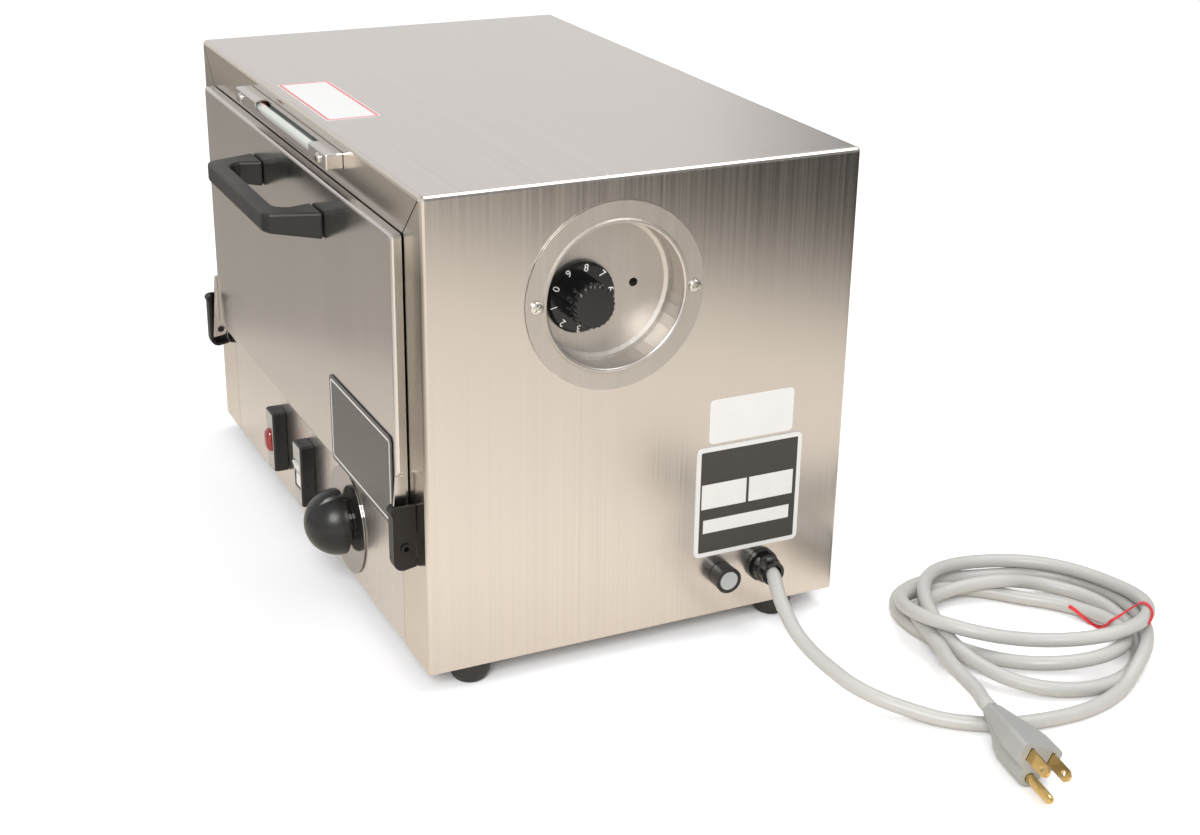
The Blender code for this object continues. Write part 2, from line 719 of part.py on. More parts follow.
def base_pan(machine):
    """A shallow tray that closes the casing from below."""
    width = CASE_WIDTH - 2 * (SHEET + GAP)
    depth = CASE_DEPTH - 2 * (SHEET + GAP)
    thick = 2 * SHEET
    sections = [
        (0, width, depth, BEND_RADIUS),
        (BASE_FLANGE, width, depth, BEND_RADIUS),
        (BASE_FLANGE, width - thick, depth - thick, BEND_RADIUS - SHEET),
        (SHEET, width - thick, depth - thick, BEND_RADIUS - SHEET),
    ]
    node("base_pan", stack("Z", (0, 0), sections), STEEL, machine)


def rear_panel(machine):
    width = CASE_WIDTH - 2 * REAR_PANEL_INSET
    bottom = REAR_PANEL_INSET
    top = CASE_HEIGHT - REAR_PANEL_INSET
    face = BACK + GAP
    sections = [
        (face, width, top - bottom, PANEL_CORNER_RADIUS),
        (face + SHEET, width, top - bottom, PANEL_CORNER_RADIUS),
    ]
    node("rear_panel", stack("Y", (0, (top + bottom) / 2), sections), STEEL, machine)


def control_panel(machine):
    """The strip under the door: a channel with returns at its top and ends, and its cut-outs."""
    low = (-PANEL_HALF, FRONT, CONTROL_PANEL_BOTTOM)
    high = (PANEL_HALF, FRONT + SHEET + CONTROL_PANEL_RETURN, CONTROL_PANEL_TOP)
    panel = node("control_panel", box(low, high), MIRROR_STEEL, machine)
    inside = PANEL_HALF - SHEET
    hollow = box(
        (-inside, FRONT + SHEET, -OVERRUN), (inside, 0, CONTROL_PANEL_TOP - SHEET)
    )
    notch = box(
        (-PANEL_HALF - OVERRUN, FRONT + SHEET, -OVERRUN),
        (PANEL_HALF + OVERRUN, 0, BASE_FLANGE + GAP),
    )
    holes = [rod("Y", TIMER_CENTRE, TIMER_HEIGHT, TIMER_BUSH_RADIUS + GAP, FRONT - OVERRUN, 0)]
    for place in (LAMP_CENTRE, SWITCH_CENTRE):
        half = SNAP_BODY_WIDTH / 2 + GAP
        tall = SNAP_BODY_HEIGHT / 2 + GAP
        low = (place - half, FRONT - OVERRUN, BEZEL_CENTRE_HEIGHT - tall)
        holes.append(box(low, (place + half, 0, BEZEL_CENTRE_HEIGHT + tall)))
    cut(panel, hollow, notch, together(*holes))


def feet(machine):
    """Four rubber feet, each with a round shoulder and a small flat face below."""
    for place, along in (("front", FOOT_FRONT), ("rear", FOOT_REAR)):
        for side, across in (("left", -FOOT_SPREAD), ("right", FOOT_SPREAD)):
            top = -GAP
            profile = [
                (0, top),
                (FOOT_RADIUS, top),
                (FOOT_RADIUS, top - FOOT_SHOULDER),
                (FOOT_BULGE, top - FOOT_HEIGHT * 3 / 5),
                (FOOT_FACE_RADIUS + (FOOT_BULGE - FOOT_FACE_RADIUS) / 2, FLOOR + FOOT_HEIGHT / 8),
                (FOOT_FACE_RADIUS, FLOOR),
                (0, FLOOR),
            ]
            foot = turned("Z", (across, along), profile, 20)
            node(f"foot_{place}_{side}", foot, BLACK_RUBBER, machine, (across, along, top))


def door_pan(door):
    """The door's outer skin: a pan with round front edges, open behind."""
    half = DOOR_HALF
    bm = box((-half, DOOR_FACE, DOOR_BOTTOM), (half, DOOR_BACK, DOOR_TOP))
    middle = (DOOR_FACE + DOOR_BACK) / 2
    bent = [edge for edge in bm.edges if min(vert.co.y for vert in edge.verts) < middle]
    bmesh.ops.bevel(
        bm, geom=bent, offset=DOOR_BEND, offset_type="OFFSET", segments=BEND_STEPS, profile=0.5, affect="EDGES"
    )
    pan = node("door_pan", bm, STEEL, door)
    inner = box(
        (-half + DOOR_SHEET, DOOR_FACE + DOOR_SHEET, DOOR_BOTTOM + DOOR_SHEET),
        (half - DOOR_SHEET, DOOR_BACK + OVERRUN, DOOR_TOP - DOOR_SHEET),
    )
    cut(pan, inner)


def door_inner_panel(door):
    """A hat-shaped sheet: a flange inside the pan's rim, and a plug that fills the chamber's mouth."""
    half = DOOR_HALF - DOOR_SHEET - GAP
    flange_back = DOOR_BACK - INNER_PANEL_RECESS
    flange_front = flange_back - DOOR_SHEET
    bottom = DOOR_BOTTOM + DOOR_SHEET + GAP
    top = DOOR_TOP - DOOR_SHEET - GAP
    plug_half = CHAMBER_HALF_WIDTH - PLUG_PLAY
    plug_low = CHAMBER_BOTTOM + PLUG_PLAY
    plug_high = CHAMBER_TOP - PLUG_PLAY
    plug_back = flange_back + PLUG_DEPTH
    frame = (0, (bottom + top) / 2, 2 * half, top - bottom, DOOR_BEND)
    plug = (0, (plug_low + plug_high) / 2, 2 * plug_half, plug_high - plug_low, PLUG_BEND)
    inside = (*plug[:2], plug[2] - 2 * DOOR_SHEET, plug[3] - 2 * DOOR_SHEET, PLUG_BEND - DOOR_SHEET)
    rings = [
        (inside, plug_back - DOOR_SHEET),
        (inside, flange_front),
        (frame, flange_front),
        (frame, flange_back),
        (plug, flange_back),
        (plug, plug_back),
    ]
    solid = loft([[point("Y", *spot, along) for spot in rounded(*shape)] for shape, along in rings])
    node("door_inner_panel", solid, DULL_STEEL, door)


def door_gasket(door):
    """A flat silicone ring round the plug, which closes on the chamber's mouth flange."""
    front = DOOR_BACK - INNER_PANEL_RECESS + GAP
    back = LINER_FRONT - GAP
    middle = (CHAMBER_BOTTOM + CHAMBER_TOP) / 2
    width = 2 * (CHAMBER_HALF_WIDTH + GASKET_INSET + GASKET_WIDTH)
    height = CHAMBER_TOP - CHAMBER_BOTTOM + 2 * (GASKET_INSET + GASKET_WIDTH)
    outer = [(along, width, height, CHAMBER_CORNER_RADIUS) for along in (front, back)]
    gasket = node("door_gasket", stack("Y", (0, middle), outer), SILICONE, door)
    inner = [
        (along, width - 2 * GASKET_WIDTH, height - 2 * GASKET_WIDTH, CHAMBER_CORNER_RADIUS)
        for along in (front - OVERRUN, back + OVERRUN)
    ]
    cut(gasket, stack("Y", (0, middle), inner))


def door_handle(door):
    """A moulded bow: its outline from above, with round corners, its underside rising to the bar."""
    seat = DOOR_FACE - GAP
    inner_face = HANDLE_FACE + HANDLE_THICKNESS
    outer_right = arc(
        HANDLE_HALF_BAR - HANDLE_OUTER_RADIUS, HANDLE_FACE + HANDLE_OUTER_RADIUS,
        HANDLE_OUTER_RADIUS, -12, -90, 4,
    )
    inner_right = arc(
        HANDLE_GRIP_HALF - HANDLE_INNER_RADIUS + HANDLE_OUTER_RADIUS / 2,
        inner_face + HANDLE_INNER_RADIUS, HANDLE_INNER_RADIUS, -90, -8, 4,
    )
    right = [(HANDLE_HALF_FOOT, seat), *outer_right]
    left = [(-across, along) for across, along in right[::-1]]
    grip_left = [(-across, along) for across, along in inner_right[::-1]]
    outline = [*right, *left, (-HANDLE_GRIP_HALF, seat), *grip_left, *inner_right, (HANDLE_GRIP_HALF, seat)]
    bm = prism(outline, "Z", HANDLE_FOOT_BOTTOM, HANDLE_TOP)
    for vert in bm.verts:
        if vert.co.z < HANDLE_TOP - HANDLE_EDGE:
            share = (seat - vert.co.y) / (seat - HANDLE_FACE)
            vert.co.z += (HANDLE_FOOT_HEIGHT - HANDLE_BAR_HEIGHT) * share
    handle = node("door_handle", bm, BLACK_PLASTIC, door, (0, seat, HANDLE_TOP))
    soften(handle, HANDLE_EDGE, 2)


def soften(obj, width, segments):
    """Rounds the sharp edges of a moulded piece."""
    bevel = obj.modifiers.new("soft edges", "BEVEL")
    bevel.width = width
    bevel.segments = segments
    bevel.limit_method = "ANGLE"
    bevel.angle_limit = math.radians(40)


def thin_plate(name, axis, low, high, face, out, finish, parent):
    """A thin plate with round corners, seated on a face and pointing out (+1 or -1)."""
    centre = ((low[0] + high[0]) / 2, (low[1] + high[1]) / 2)
    size = (high[0] - low[0], high[1] - low[1])
    seat = face + out * GAP
    sections = [(along, *size, PLATE_CORNER_RADIUS) for along in (seat, seat + out * PLATE_THICKNESS)]
    node(name, stack(axis, centre, sections), finish, parent)


def hinge(side, name, machine, door):
    """One bottom hinge: the door's arm, the pin it turns on and the moulded cover over them."""
    arm_inner = DOOR_HALF + GAP
    arm_outer = arm_inner + ARM_THICKNESS
    arm_front = FRONT - DOOR_CLEARANCE - DOOR_DEPTH - ARM_TOP_SETBACK
    outline = [
        (arm_front, HINGE_HEIGHT + ARM_RISE),
        (arm_front + ARM_TOP_WIDTH, HINGE_HEIGHT + ARM_RISE),
        (HINGE_Y + ARM_FOOT_REAR, HINGE_HEIGHT),
        (HINGE_Y + ARM_FOOT_REAR * 3 / 4, HINGE_HEIGHT - ARM_HEEL_DROP),
        (HINGE_Y - ARM_FOOT_FRONT, HINGE_HEIGHT - ARM_FOOT_DROP),
    ]
    pin_place = (side * arm_inner, HINGE_Y, HINGE_HEIGHT)
    arm = node(
        f"hinge_arm_{name}", prism(outline, "X", side * arm_inner, side * arm_outer), STEEL, door, pin_place
    )
    reach = (side * (arm_inner - OVERRUN), side * (COVER_OUTER + OVERRUN))
    cut(arm, rod("X", HINGE_Y, HINGE_HEIGHT, PIN_RADIUS + GAP, *reach))
    hinge_cover(side, name, machine, reach)
    head = COVER_OUTER + GAP
    bore_end = head + PIN_HEAD - PIN_BORE_DEPTH
    profile = [
        (0, side * arm_inner),
        (PIN_RADIUS, side * arm_inner),
        (PIN_RADIUS, side * head),
        (PIN_HEAD_RADIUS, side * head),
        (PIN_HEAD_RADIUS, side * (head + PIN_HEAD)),
        (PIN_BORE_RADIUS, side * (head + PIN_HEAD)),
        (PIN_BORE_RADIUS, side * bore_end),
        (0, side * bore_end),
    ]
    pin = turned("X", (HINGE_Y, HINGE_HEIGHT), profile, SMALL_SIDES)
    node(f"hinge_pin_{name}", pin, DARK_PLASTIC, machine, pin_place)


def hinge_cover(side, name, machine, pin_reach):
    """A shell open toward the door and at the top, with a small rolled lip at its upper front."""
    back = FRONT - GAP
    front = FRONT - COVER_FRONT
    low = COVER_BOTTOM
    bottom_r = COVER_BOTTOM_RADIUS
    top_r = COVER_TOP_RADIUS
    lip = front - COVER_LIP
    outline = [
        (back, low + bottom_r / 4),
        *arc(front + bottom_r, low + bottom_r, bottom_r, 270, 180, 3),
        (front, COVER_TOP - COVER_LIP_HEIGHT),
        (lip, COVER_TOP - top_r),
        *arc(lip + top_r, COVER_TOP - top_r, top_r, 150, 90, 2),
        (back, COVER_TOP),
    ]
    shell = prism(outline, "X", side * COVER_INNER, side * COVER_OUTER)
    cover = node(f"hinge_cover_{name}", shell, DARK_PLASTIC, machine, (side * COVER_INNER, back, low))
    cheek = side * (COVER_OUTER - COVER_WALL)
    hollow_r = bottom_r - COVER_WALL
    hollow = [
        (back + OVERRUN, low + COVER_WALL + bottom_r / 4),
        *arc(front + bottom_r, low + bottom_r, hollow_r, 270, 180, 3),
        (front + COVER_WALL, COVER_TOP + OVERRUN),
        (back + OVERRUN, COVER_TOP + OVERRUN),
    ]
    cut(
        cover,
        prism(hollow, "X", side * (COVER_INNER - OVERRUN), cheek),
        rod("X", HINGE_Y, HINGE_HEIGHT, PIN_RADIUS + GAP, *pin_reach),
    )


def thermometer(machine):
    """A folded housing with a window, a glass tube inside it and two screws."""
    middle = (THERMOMETER_BOTTOM + THERMOMETER_TOP) / 2
    back = FRONT - GAP
    front = back - THERMOMETER_DEPTH
    wall = THERMOMETER_WALL
    bm = box((-THERMOMETER_HALF, front, THERMOMETER_BOTTOM), (THERMOMETER_HALF, back, THERMOMETER_TOP))
    bent = [edge for edge in bm.edges if min(vert.co.y for vert in edge.verts) < (front + back) / 2]
    bmesh.ops.bevel(bm, geom=bent, offset=THERMOMETER_BEND, segments=2, profile=0.5, affect="EDGES")
    housing = node("thermometer_housing", bm, STEEL, machine)
    hollow = box(
        (-THERMOMETER_HALF + wall, front + wall, THERMOMETER_BOTTOM + wall),
        (THERMOMETER_HALF - wall, back + OVERRUN, THERMOMETER_TOP - wall),
    )
    window = box(
        (WINDOW_LEFT, front - OVERRUN, middle), (WINDOW_RIGHT, back - WINDOW_BACK, THERMOMETER_TOP + OVERRUN)
    )
    holes = []
    for side, name in ((-1, "left"), (1, "right")):
        across = side * SMALL_SCREW_SPREAD
        holes.append(rod("Y", across, middle, SCREW_SHANK_RADIUS + GAP, front - OVERRUN, back))
        shank = THERMOMETER_DEPTH + SCREW_SHANK
        bm = screw_solid(
            "Y", (across, middle), front, -1, SCREW_HEAD_RADIUS, SCREW_HEAD_HEIGHT, SCREW_SHANK_RADIUS, shank
        )
        node(f"thermometer_screw_{name}", bm, DULL_STEEL, machine, (across, front, middle))
    cut(housing, hollow, window, together(*holes))
    tube_up = THERMOMETER_BOTTOM + wall + GAP + TUBE_RADIUS
    tube_back = back - WINDOW_BACK - TUBE_RADIUS
    bm = rod("X", tube_back, tube_up, TUBE_RADIUS, -TUBE_HALF, TUBE_HALF, SMALL_SIDES)
    node("thermometer_tube", bm, GLASS, machine, (0, tube_back, tube_up))


def bezel(name, across, machine):
    """A snap-in bezel: a body through the panel and a rim that holds the face plate."""
    body_back = FRONT + SNAP_BODY_DEPTH
    seat = FRONT - GAP
    rim = BEZEL_CHAMFER
    inner = (BEZEL_WIDTH - 2 * BEZEL_RIM, BEZEL_HEIGHT - 2 * BEZEL_RIM)
    sections = [
        (body_back, SNAP_BODY_WIDTH, SNAP_BODY_HEIGHT, BEZEL_CORNER_RADIUS),
        (seat, SNAP_BODY_WIDTH, SNAP_BODY_HEIGHT, BEZEL_CORNER_RADIUS),
        (seat, BEZEL_WIDTH, BEZEL_HEIGHT, BEZEL_CORNER_RADIUS),
        (BEZEL_FACE + rim, BEZEL_WIDTH, BEZEL_HEIGHT, BEZEL_CORNER_RADIUS),
        (BEZEL_FACE, BEZEL_WIDTH - rim, BEZEL_HEIGHT - rim, BEZEL_CORNER_RADIUS),
        (BEZEL_FACE, *inner, BEZEL_CORNER_RADIUS),
        (FACE_BACK + GAP, *inner, BEZEL_CORNER_RADIUS),
        (FACE_BACK + GAP, SNAP_BODY_WIDTH - 2 * GAP, ROCKER_HEIGHT + 4 * ROCKER_END_PLAY, BEZEL_CORNER_RADIUS),
        (FACE_BACK + ROCKER_BACK + ROCKER_BACK_PLAY, SNAP_BODY_WIDTH - 2 * GAP,
         ROCKER_HEIGHT + 4 * ROCKER_END_PLAY, BEZEL_CORNER_RADIUS),
    ]
    bm = stack("Y", (across, BEZEL_CENTRE_HEIGHT), sections, 2)
    node(name, bm, BLACK_PLASTIC, machine, (across, seat, BEZEL_CENTRE_HEIGHT))


def face_plate(name, across, machine):
    """The silver plate inside a bezel's rim."""
    width = BEZEL_WIDTH - 2 * BEZEL_RIM - 2 * GAP
    height = BEZEL_HEIGHT - 2 * BEZEL_RIM - 2 * GAP
    sections = [(along, width, height, BEZEL_CORNER_RADIUS) for along in (FACE_FRONT, FACE_BACK)]
    bm = stack("Y", (across, BEZEL_CENTRE_HEIGHT), sections, 2)
    return node(name, bm, SILVER_FACE, machine, (across, FACE_BACK, BEZEL_CENTRE_HEIGHT))


def lamp(machine):
    bezel("lamp_housing", LAMP_CENTRE, machine)
    face = face_plate("lamp_face", LAMP_CENTRE, machine)
    centre = (LAMP_CENTRE, BEZEL_CENTRE_HEIGHT)
    hole = [
        (along, LENS_WIDTH - LENS_SKIRT, LENS_HEIGHT - LENS_SKIRT, (LENS_WIDTH - LENS_SKIRT) / 2)
        for along in (FACE_FRONT - OVERRUN, FACE_BACK + OVERRUN)
    ]
    cut(face, stack("Y", centre, hole, 4))
    stem = LENS_SKIRT + 2 * GAP
    seat = FACE_FRONT - GAP
    sections = [
        (FACE_BACK, LENS_WIDTH - stem, LENS_HEIGHT - stem, (LENS_WIDTH - stem) / 2),
        (seat, LENS_WIDTH - stem, LENS_HEIGHT - stem, (LENS_WIDTH - stem) / 2),
        (seat, LENS_WIDTH, LENS_HEIGHT, LENS_WIDTH / 2),
        (seat - LENS_RISE / 3, LENS_WIDTH, LENS_HEIGHT, LENS_WIDTH / 2),
        (seat - LENS_RISE * 3 / 4, LENS_WIDTH * 3 / 4, LENS_HEIGHT * 4 / 5, LENS_WIDTH * 3 / 8),
        (seat - LENS_RISE, LENS_WIDTH / 4, LENS_HEIGHT / 3, LENS_WIDTH / 8),
    ]
    bm = stack("Y", centre, sections, 4)
    node("lamp_lens", bm, RED_LENS, machine, (LAMP_CENTRE, seat, BEZEL_CENTRE_HEIGHT))


def switch(machine):
    """The rocker turns about a pivot behind its face; it rests tipped to one side."""
    bezel("switch_housing", SWITCH_CENTRE, machine)
    face = face_plate("switch_face", SWITCH_CENTRE, machine)
    half = ROCKER_WIDTH / 2 + ROCKER_SIDE_PLAY
    tall = ROCKER_HEIGHT / 2 + ROCKER_END_PLAY
    low = (SWITCH_CENTRE - half, FACE_FRONT - OVERRUN, BEZEL_CENTRE_HEIGHT - tall)
    high = (SWITCH_CENTRE + half, FACE_BACK + OVERRUN, BEZEL_CENTRE_HEIGHT + tall)
    cut(face, box(low, high))
    pivot = (SWITCH_CENTRE, FACE_BACK, BEZEL_CENTRE_HEIGHT)
    end_face = FACE_FRONT - ROCKER_PROUD - ROCKER_CREASE
    outline = [
        (end_face, ROCKER_HEIGHT / 2),
        (end_face + ROCKER_CREASE, 0),
        (end_face, -ROCKER_HEIGHT / 2),
        (FACE_BACK, -ROCKER_HEIGHT / 2),
        (FACE_BACK + ROCKER_BACK, -ROCKER_BACK_HEIGHT / 2),
        (FACE_BACK + ROCKER_BACK, ROCKER_BACK_HEIGHT / 2),
        (FACE_BACK, ROCKER_HEIGHT / 2),
    ]
    placed = [(along, BEZEL_CENTRE_HEIGHT + up) for along, up in outline]
    half = ROCKER_WIDTH / 2
    bm = prism(placed, "X", SWITCH_CENTRE - half, SWITCH_CENTRE + half)
    rocker = node("switch_rocker", bm, WHITE_PLASTIC, machine, pivot)
    rocker.rotation_euler.x = math.radians(ROCKER_TILT_DEG)


def timer(machine):
    """Body behind the panel, dial plate, collar, and a domed knob with a grip ridge on its shaft."""
    centre = (TIMER_CENTRE, TIMER_HEIGHT)
    body_front = FRONT + SHEET + GAP
    body_back = body_front + TIMER_BODY_DEPTH
    nose = FRONT - GAP - DIAL_THICKNESS - GAP - COLLAR_DEPTH
    bore = SHAFT_RADIUS + GAP
    sections = [
        (body_back, TIMER_BODY_SIZE, TIMER_BODY_SIZE, PANEL_CORNER_RADIUS),
        (body_front, TIMER_BODY_SIZE, TIMER_BODY_SIZE, PANEL_CORNER_RADIUS),
        disc(body_front, TIMER_BUSH_RADIUS),
        disc(nose, TIMER_BUSH_RADIUS),
        disc(nose, bore),
        disc(nose + SHAFT_BORE_DEPTH, bore),
    ]
    node("timer_body", stack("Y", centre, sections, 4), DULL_STEEL, machine, point("Y", *centre, body_front))
    seat = FRONT - GAP
    hole = TIMER_BUSH_RADIUS + GAP
    dial_face = seat - DIAL_THICKNESS
    profile = [(hole, seat), (DIAL_RADIUS, seat), (DIAL_RADIUS, dial_face), (hole, dial_face)]
    node("timer_dial_plate", turned("Y", centre, profile), SILVER_FACE, machine, point("Y", *centre, seat))
    seat = dial_face - GAP
    profile = [
        (hole, seat),
        (COLLAR_RADIUS, seat),
        (COLLAR_RADIUS, seat - COLLAR_DEPTH + COLLAR_EDGE),
        (COLLAR_RADIUS - COLLAR_EDGE, seat - COLLAR_DEPTH),
        (hole, seat - COLLAR_DEPTH),
    ]
    node("timer_collar", turned("Y", centre, profile), SILVER_FACE, machine, point("Y", *centre, seat))
    knob_back = FRONT - KNOB_BACK
    knob = timer_knob_solid(centre, knob_back)
    node("timer_knob", knob, BLACK_PLASTIC, machine, point("Y", *centre, knob_back))
    shaft = rod(
        "Y", *centre, SHAFT_RADIUS, nose + SHAFT_BORE_DEPTH - GAP, knob_back - SHAFT_BORE_DEPTH / 2
    )
    node("timer_shaft", shaft, DULL_STEEL, machine, point("Y", *centre, knob_back))


def timer_knob_solid(centre, back):
    """A dome cut by two slanting flats, which leave a ridge to grip and to point with."""
    front = back - KNOB_DEPTH
    dome_height = KNOB_DEPTH - KNOB_SKIRT
    bore = SHAFT_RADIUS + GAP
    bore_end = back - SHAFT_BORE_DEPTH / 2 - GAP
    profile = [(0, bore_end), (bore, bore_end), (bore, back), (KNOB_RADIUS, back)]
    steps = 7
    for i in range(steps):
        angle = math.pi / 2 * i / steps
        radius = KNOB_CROWN_RADIUS + (KNOB_RADIUS - KNOB_CROWN_RADIUS) * math.cos(angle)
        profile.append((radius, back - KNOB_SKIRT - dome_height * math.sin(angle)))
    profile.append((0, front))
    bm = turned("Y", centre, profile)
    turn = Matrix.Rotation(math.radians(KNOB_POINTER_DEG), 3, "Y")
    top = point("Y", *centre, front)
    for side in (-1, 1):
        start = turn @ Vector((side * KNOB_RIDGE_HALF, 0, -KNOB_RIDGE_START))
        normal = turn @ Vector((side * KNOB_FACET_SIDE_SHARE, -1, KNOB_FACET_FALL_SHARE))
        facet(bm, top + start, normal)
    return tidy(bm)


def facet(bm, place, normal):
    """Slices off what lies beyond a plane, and closes the cut with one flat face."""
    sliced = bmesh.ops.bisect_plane(
        bm, geom=bm.verts[:] + bm.edges[:] + bm.faces[:], dist=MERGE, plane_co=place, plane_no=normal,
        clear_outer=True,
    )
    rim = [item for item in sliced["geom_cut"] if isinstance(item, bmesh.types.BMEdge)]
    bmesh.ops.edgeloop_fill(bm, edges=rim)


def well(machine):
    """A spun cup let into the right side, with a rolled lip and a flange held by two screws."""
    face = WELL_FACE
    lip = WELL_RADIUS + WELL_LIP
    thick = WELL_SHEET
    floor_r = WELL_FLOOR_RADIUS
    rim_back = face - thick
    profile = [
        (0, WELL_FLOOR),
        (WELL_RADIUS - floor_r, WELL_FLOOR),
        (WELL_RADIUS - floor_r / 3, WELL_FLOOR + floor_r / 3),
        (WELL_RADIUS, WELL_FLOOR + floor_r),
        (WELL_RADIUS, face),
        (WELL_RADIUS + WELL_LIP / 3, face + WELL_LIP_RISE),
        (WELL_RADIUS + WELL_LIP * 2 / 3, face + WELL_LIP_RISE),
        (lip, face),
        (WELL_FLANGE_RADIUS, face),
        (WELL_FLANGE_RADIUS, rim_back),
        (WELL_RADIUS + thick, rim_back),
        (WELL_RADIUS + thick, WELL_FLOOR + floor_r - thick / 3),
        (WELL_RADIUS - floor_r / 3 + thick / 2, WELL_FLOOR - thick / 3),
        (WELL_RADIUS - floor_r, WELL_FLOOR - thick),
        (0, WELL_FLOOR - thick),
    ]
    centre = (WELL_CENTRE, WELL_HEIGHT)
    cup = node("well_cup", turned("X", centre, profile, WELL_SIDES), STEEL, machine, point("X", *centre, face))
    reach = (WELL_FLOOR - thick - OVERRUN, WELL_FLOOR + OVERRUN)
    holes = [
        rod("X", THERMOSTAT_CENTRE, THERMOSTAT_HEIGHT, TIMER_BUSH_RADIUS + GAP, *reach),
        rod("X", WELL_CENTRE + WELL_EYE_OFFSET, WELL_HEIGHT, WELL_EYE_RADIUS, *reach),
    ]
    for side, name in ((-1, "front"), (1, "rear")):
        place = WELL_CENTRE + side * WELL_SCREW_SPREAD
        holes.append(rod("X", place, WELL_HEIGHT, SCREW_SHANK_RADIUS + GAP, rim_back - OVERRUN, face + OVERRUN))
        bm = screw_solid(
            "X", (place, WELL_HEIGHT), face, 1, SCREW_HEAD_RADIUS, SCREW_HEAD_HEIGHT,
            SCREW_SHANK_RADIUS, SCREW_SHANK,
        )
        node(f"well_screw_{name}", bm, DULL_STEEL, machine, (face, place, WELL_HEIGHT))
    cut(cup, together(*holes))


def thermostat(machine):
    """Body behind the well, probe into the chamber, shaft, and a skirted knob with a fluted grip."""
    centre = (THERMOSTAT_CENTRE, THERMOSTAT_HEIGHT)
    front = THERMOSTAT_FRONT
    back = THERMOSTAT_BACK
    nose = WELL_FLOOR + DIAL_KNOB_CLEARANCE - GAP
    bore = SHAFT_RADIUS + GAP
    sections = [
        (back, THERMOSTAT_SIZE, THERMOSTAT_SIZE, PANEL_CORNER_RADIUS),
        (front, THERMOSTAT_SIZE, THERMOSTAT_SIZE, PANEL_CORNER_RADIUS),
        disc(front, TIMER_BUSH_RADIUS),
        disc(nose, TIMER_BUSH_RADIUS),
        disc(nose, bore),
        disc(nose - SHAFT_BORE_DEPTH, bore),
    ]
    node("thermostat_body", stack("X", centre, sections, 4), DULL_STEEL, machine, point("X", *centre, front))
    probe = rod("X", *centre, PROBE_RADIUS, CHAMBER_HALF_WIDTH - PROBE_REACH, back - GAP)
    node("thermostat_probe", probe, DULL_STEEL, machine, point("X", *centre, back))
    seat = WELL_FLOOR + DIAL_KNOB_CLEARANCE
    grip_top = seat + DIAL_KNOB_SKIRT + GRIP_HEIGHT
    bore_end = grip_top - GRIP_HEIGHT / 2
    skirt = [
        (0, seat + DIAL_KNOB_SKIRT / 2),
        (DIAL_KNOB_RADIUS - DIAL_KNOB_TAPER * 2, seat + DIAL_KNOB_SKIRT / 2),
        (DIAL_KNOB_RADIUS - DIAL_KNOB_TAPER, seat),
        (DIAL_KNOB_RADIUS, seat),
        (DIAL_KNOB_RADIUS, seat + DIAL_KNOB_SKIRT / 3),
        (DIAL_KNOB_RADIUS - DIAL_KNOB_TAPER, seat + DIAL_KNOB_SKIRT),
        (0, seat + DIAL_KNOB_SKIRT),
    ]
    place = point("X", *centre, seat)
    knob = node("thermostat_knob", turned("X", centre, skirt), GLOSS_BLACK, machine, place)
    join(knob, fluted_grip(centre, seat + DIAL_KNOB_SKIRT * 3 / 4, grip_top))
    cut(knob, rod("X", *centre, bore, seat - OVERRUN, bore_end))
    shaft = rod("X", *centre, SHAFT_RADIUS, nose - SHAFT_BORE_DEPTH + GAP, bore_end - SHAFT_END_PLAY)
    node("thermostat_shaft", shaft, DULL_STEEL, machine, place)


def fluted_grip(centre, bottom, top):
    """A cylinder with flutes down its side and a smooth chamfered crown."""
    def ring(radius, flute, along):
        outline = []
        for i in range(2 * GRIP_FLUTE_COUNT):
            angle = math.pi * i / GRIP_FLUTE_COUNT
            reach = radius - flute * (i % 2)
            outline.append((centre[0] + reach * math.cos(angle), centre[1] + reach * math.sin(angle)))
        return [point("X", across, up, along) for across, up in outline]

    return loft([
        ring(GRIP_RADIUS, GRIP_FLUTE, bottom),
        ring(GRIP_RADIUS, GRIP_FLUTE, top - GRIP_EDGE),
        ring(GRIP_RADIUS - GRIP_EDGE, 0, top),
    ])


def breaker(machine):
    """A panel breaker: body inside the casing, tapered collar outside, and a button that pops out."""
    centre = (BREAKER_CENTRE, BREAKER_HEIGHT)
    inner_wall = SIDE - SHEET - GAP
    back = inner_wall - BREAKER_BODY_DEPTH
    seat = SIDE + GAP
    tip = seat + BREAKER_PROUD
    recess = BREAKER_TIP_RADIUS - BREAKER_WALL
    recess_floor = tip - BUTTON_DISC - GAP
    stem = BUTTON_STEM_RADIUS + GAP
    sections = [
        disc(back, BREAKER_BODY_RADIUS),
        disc(inner_wall, BREAKER_BODY_RADIUS),
        disc(inner_wall, BREAKER_THREAD_RADIUS),
        disc(seat, BREAKER_THREAD_RADIUS),
        disc(seat, BREAKER_FLANGE_RADIUS),
        disc(seat + BREAKER_PROUD / 3, BREAKER_FLANGE_RADIUS),
        disc(tip, BREAKER_TIP_RADIUS),
        disc(tip, recess),
        disc(recess_floor, recess),
        disc(recess_floor, stem),
        disc(seat, stem),
    ]
    bm = stack("X", centre, sections, 6)
    node("breaker_body", bm, GLOSS_BLACK, machine, point("X", *centre, seat))
    profile = [
        (0, seat + GAP),
        (BUTTON_STEM_RADIUS, seat + GAP),
        (BUTTON_STEM_RADIUS, tip - BUTTON_DISC),
        (recess - GAP, tip - BUTTON_DISC),
        (recess - GAP, tip),
        (0, tip),
    ]
    node("breaker_button", turned("X", centre, profile, 24), SILVER_FACE, machine, point("X", *centre, tip))


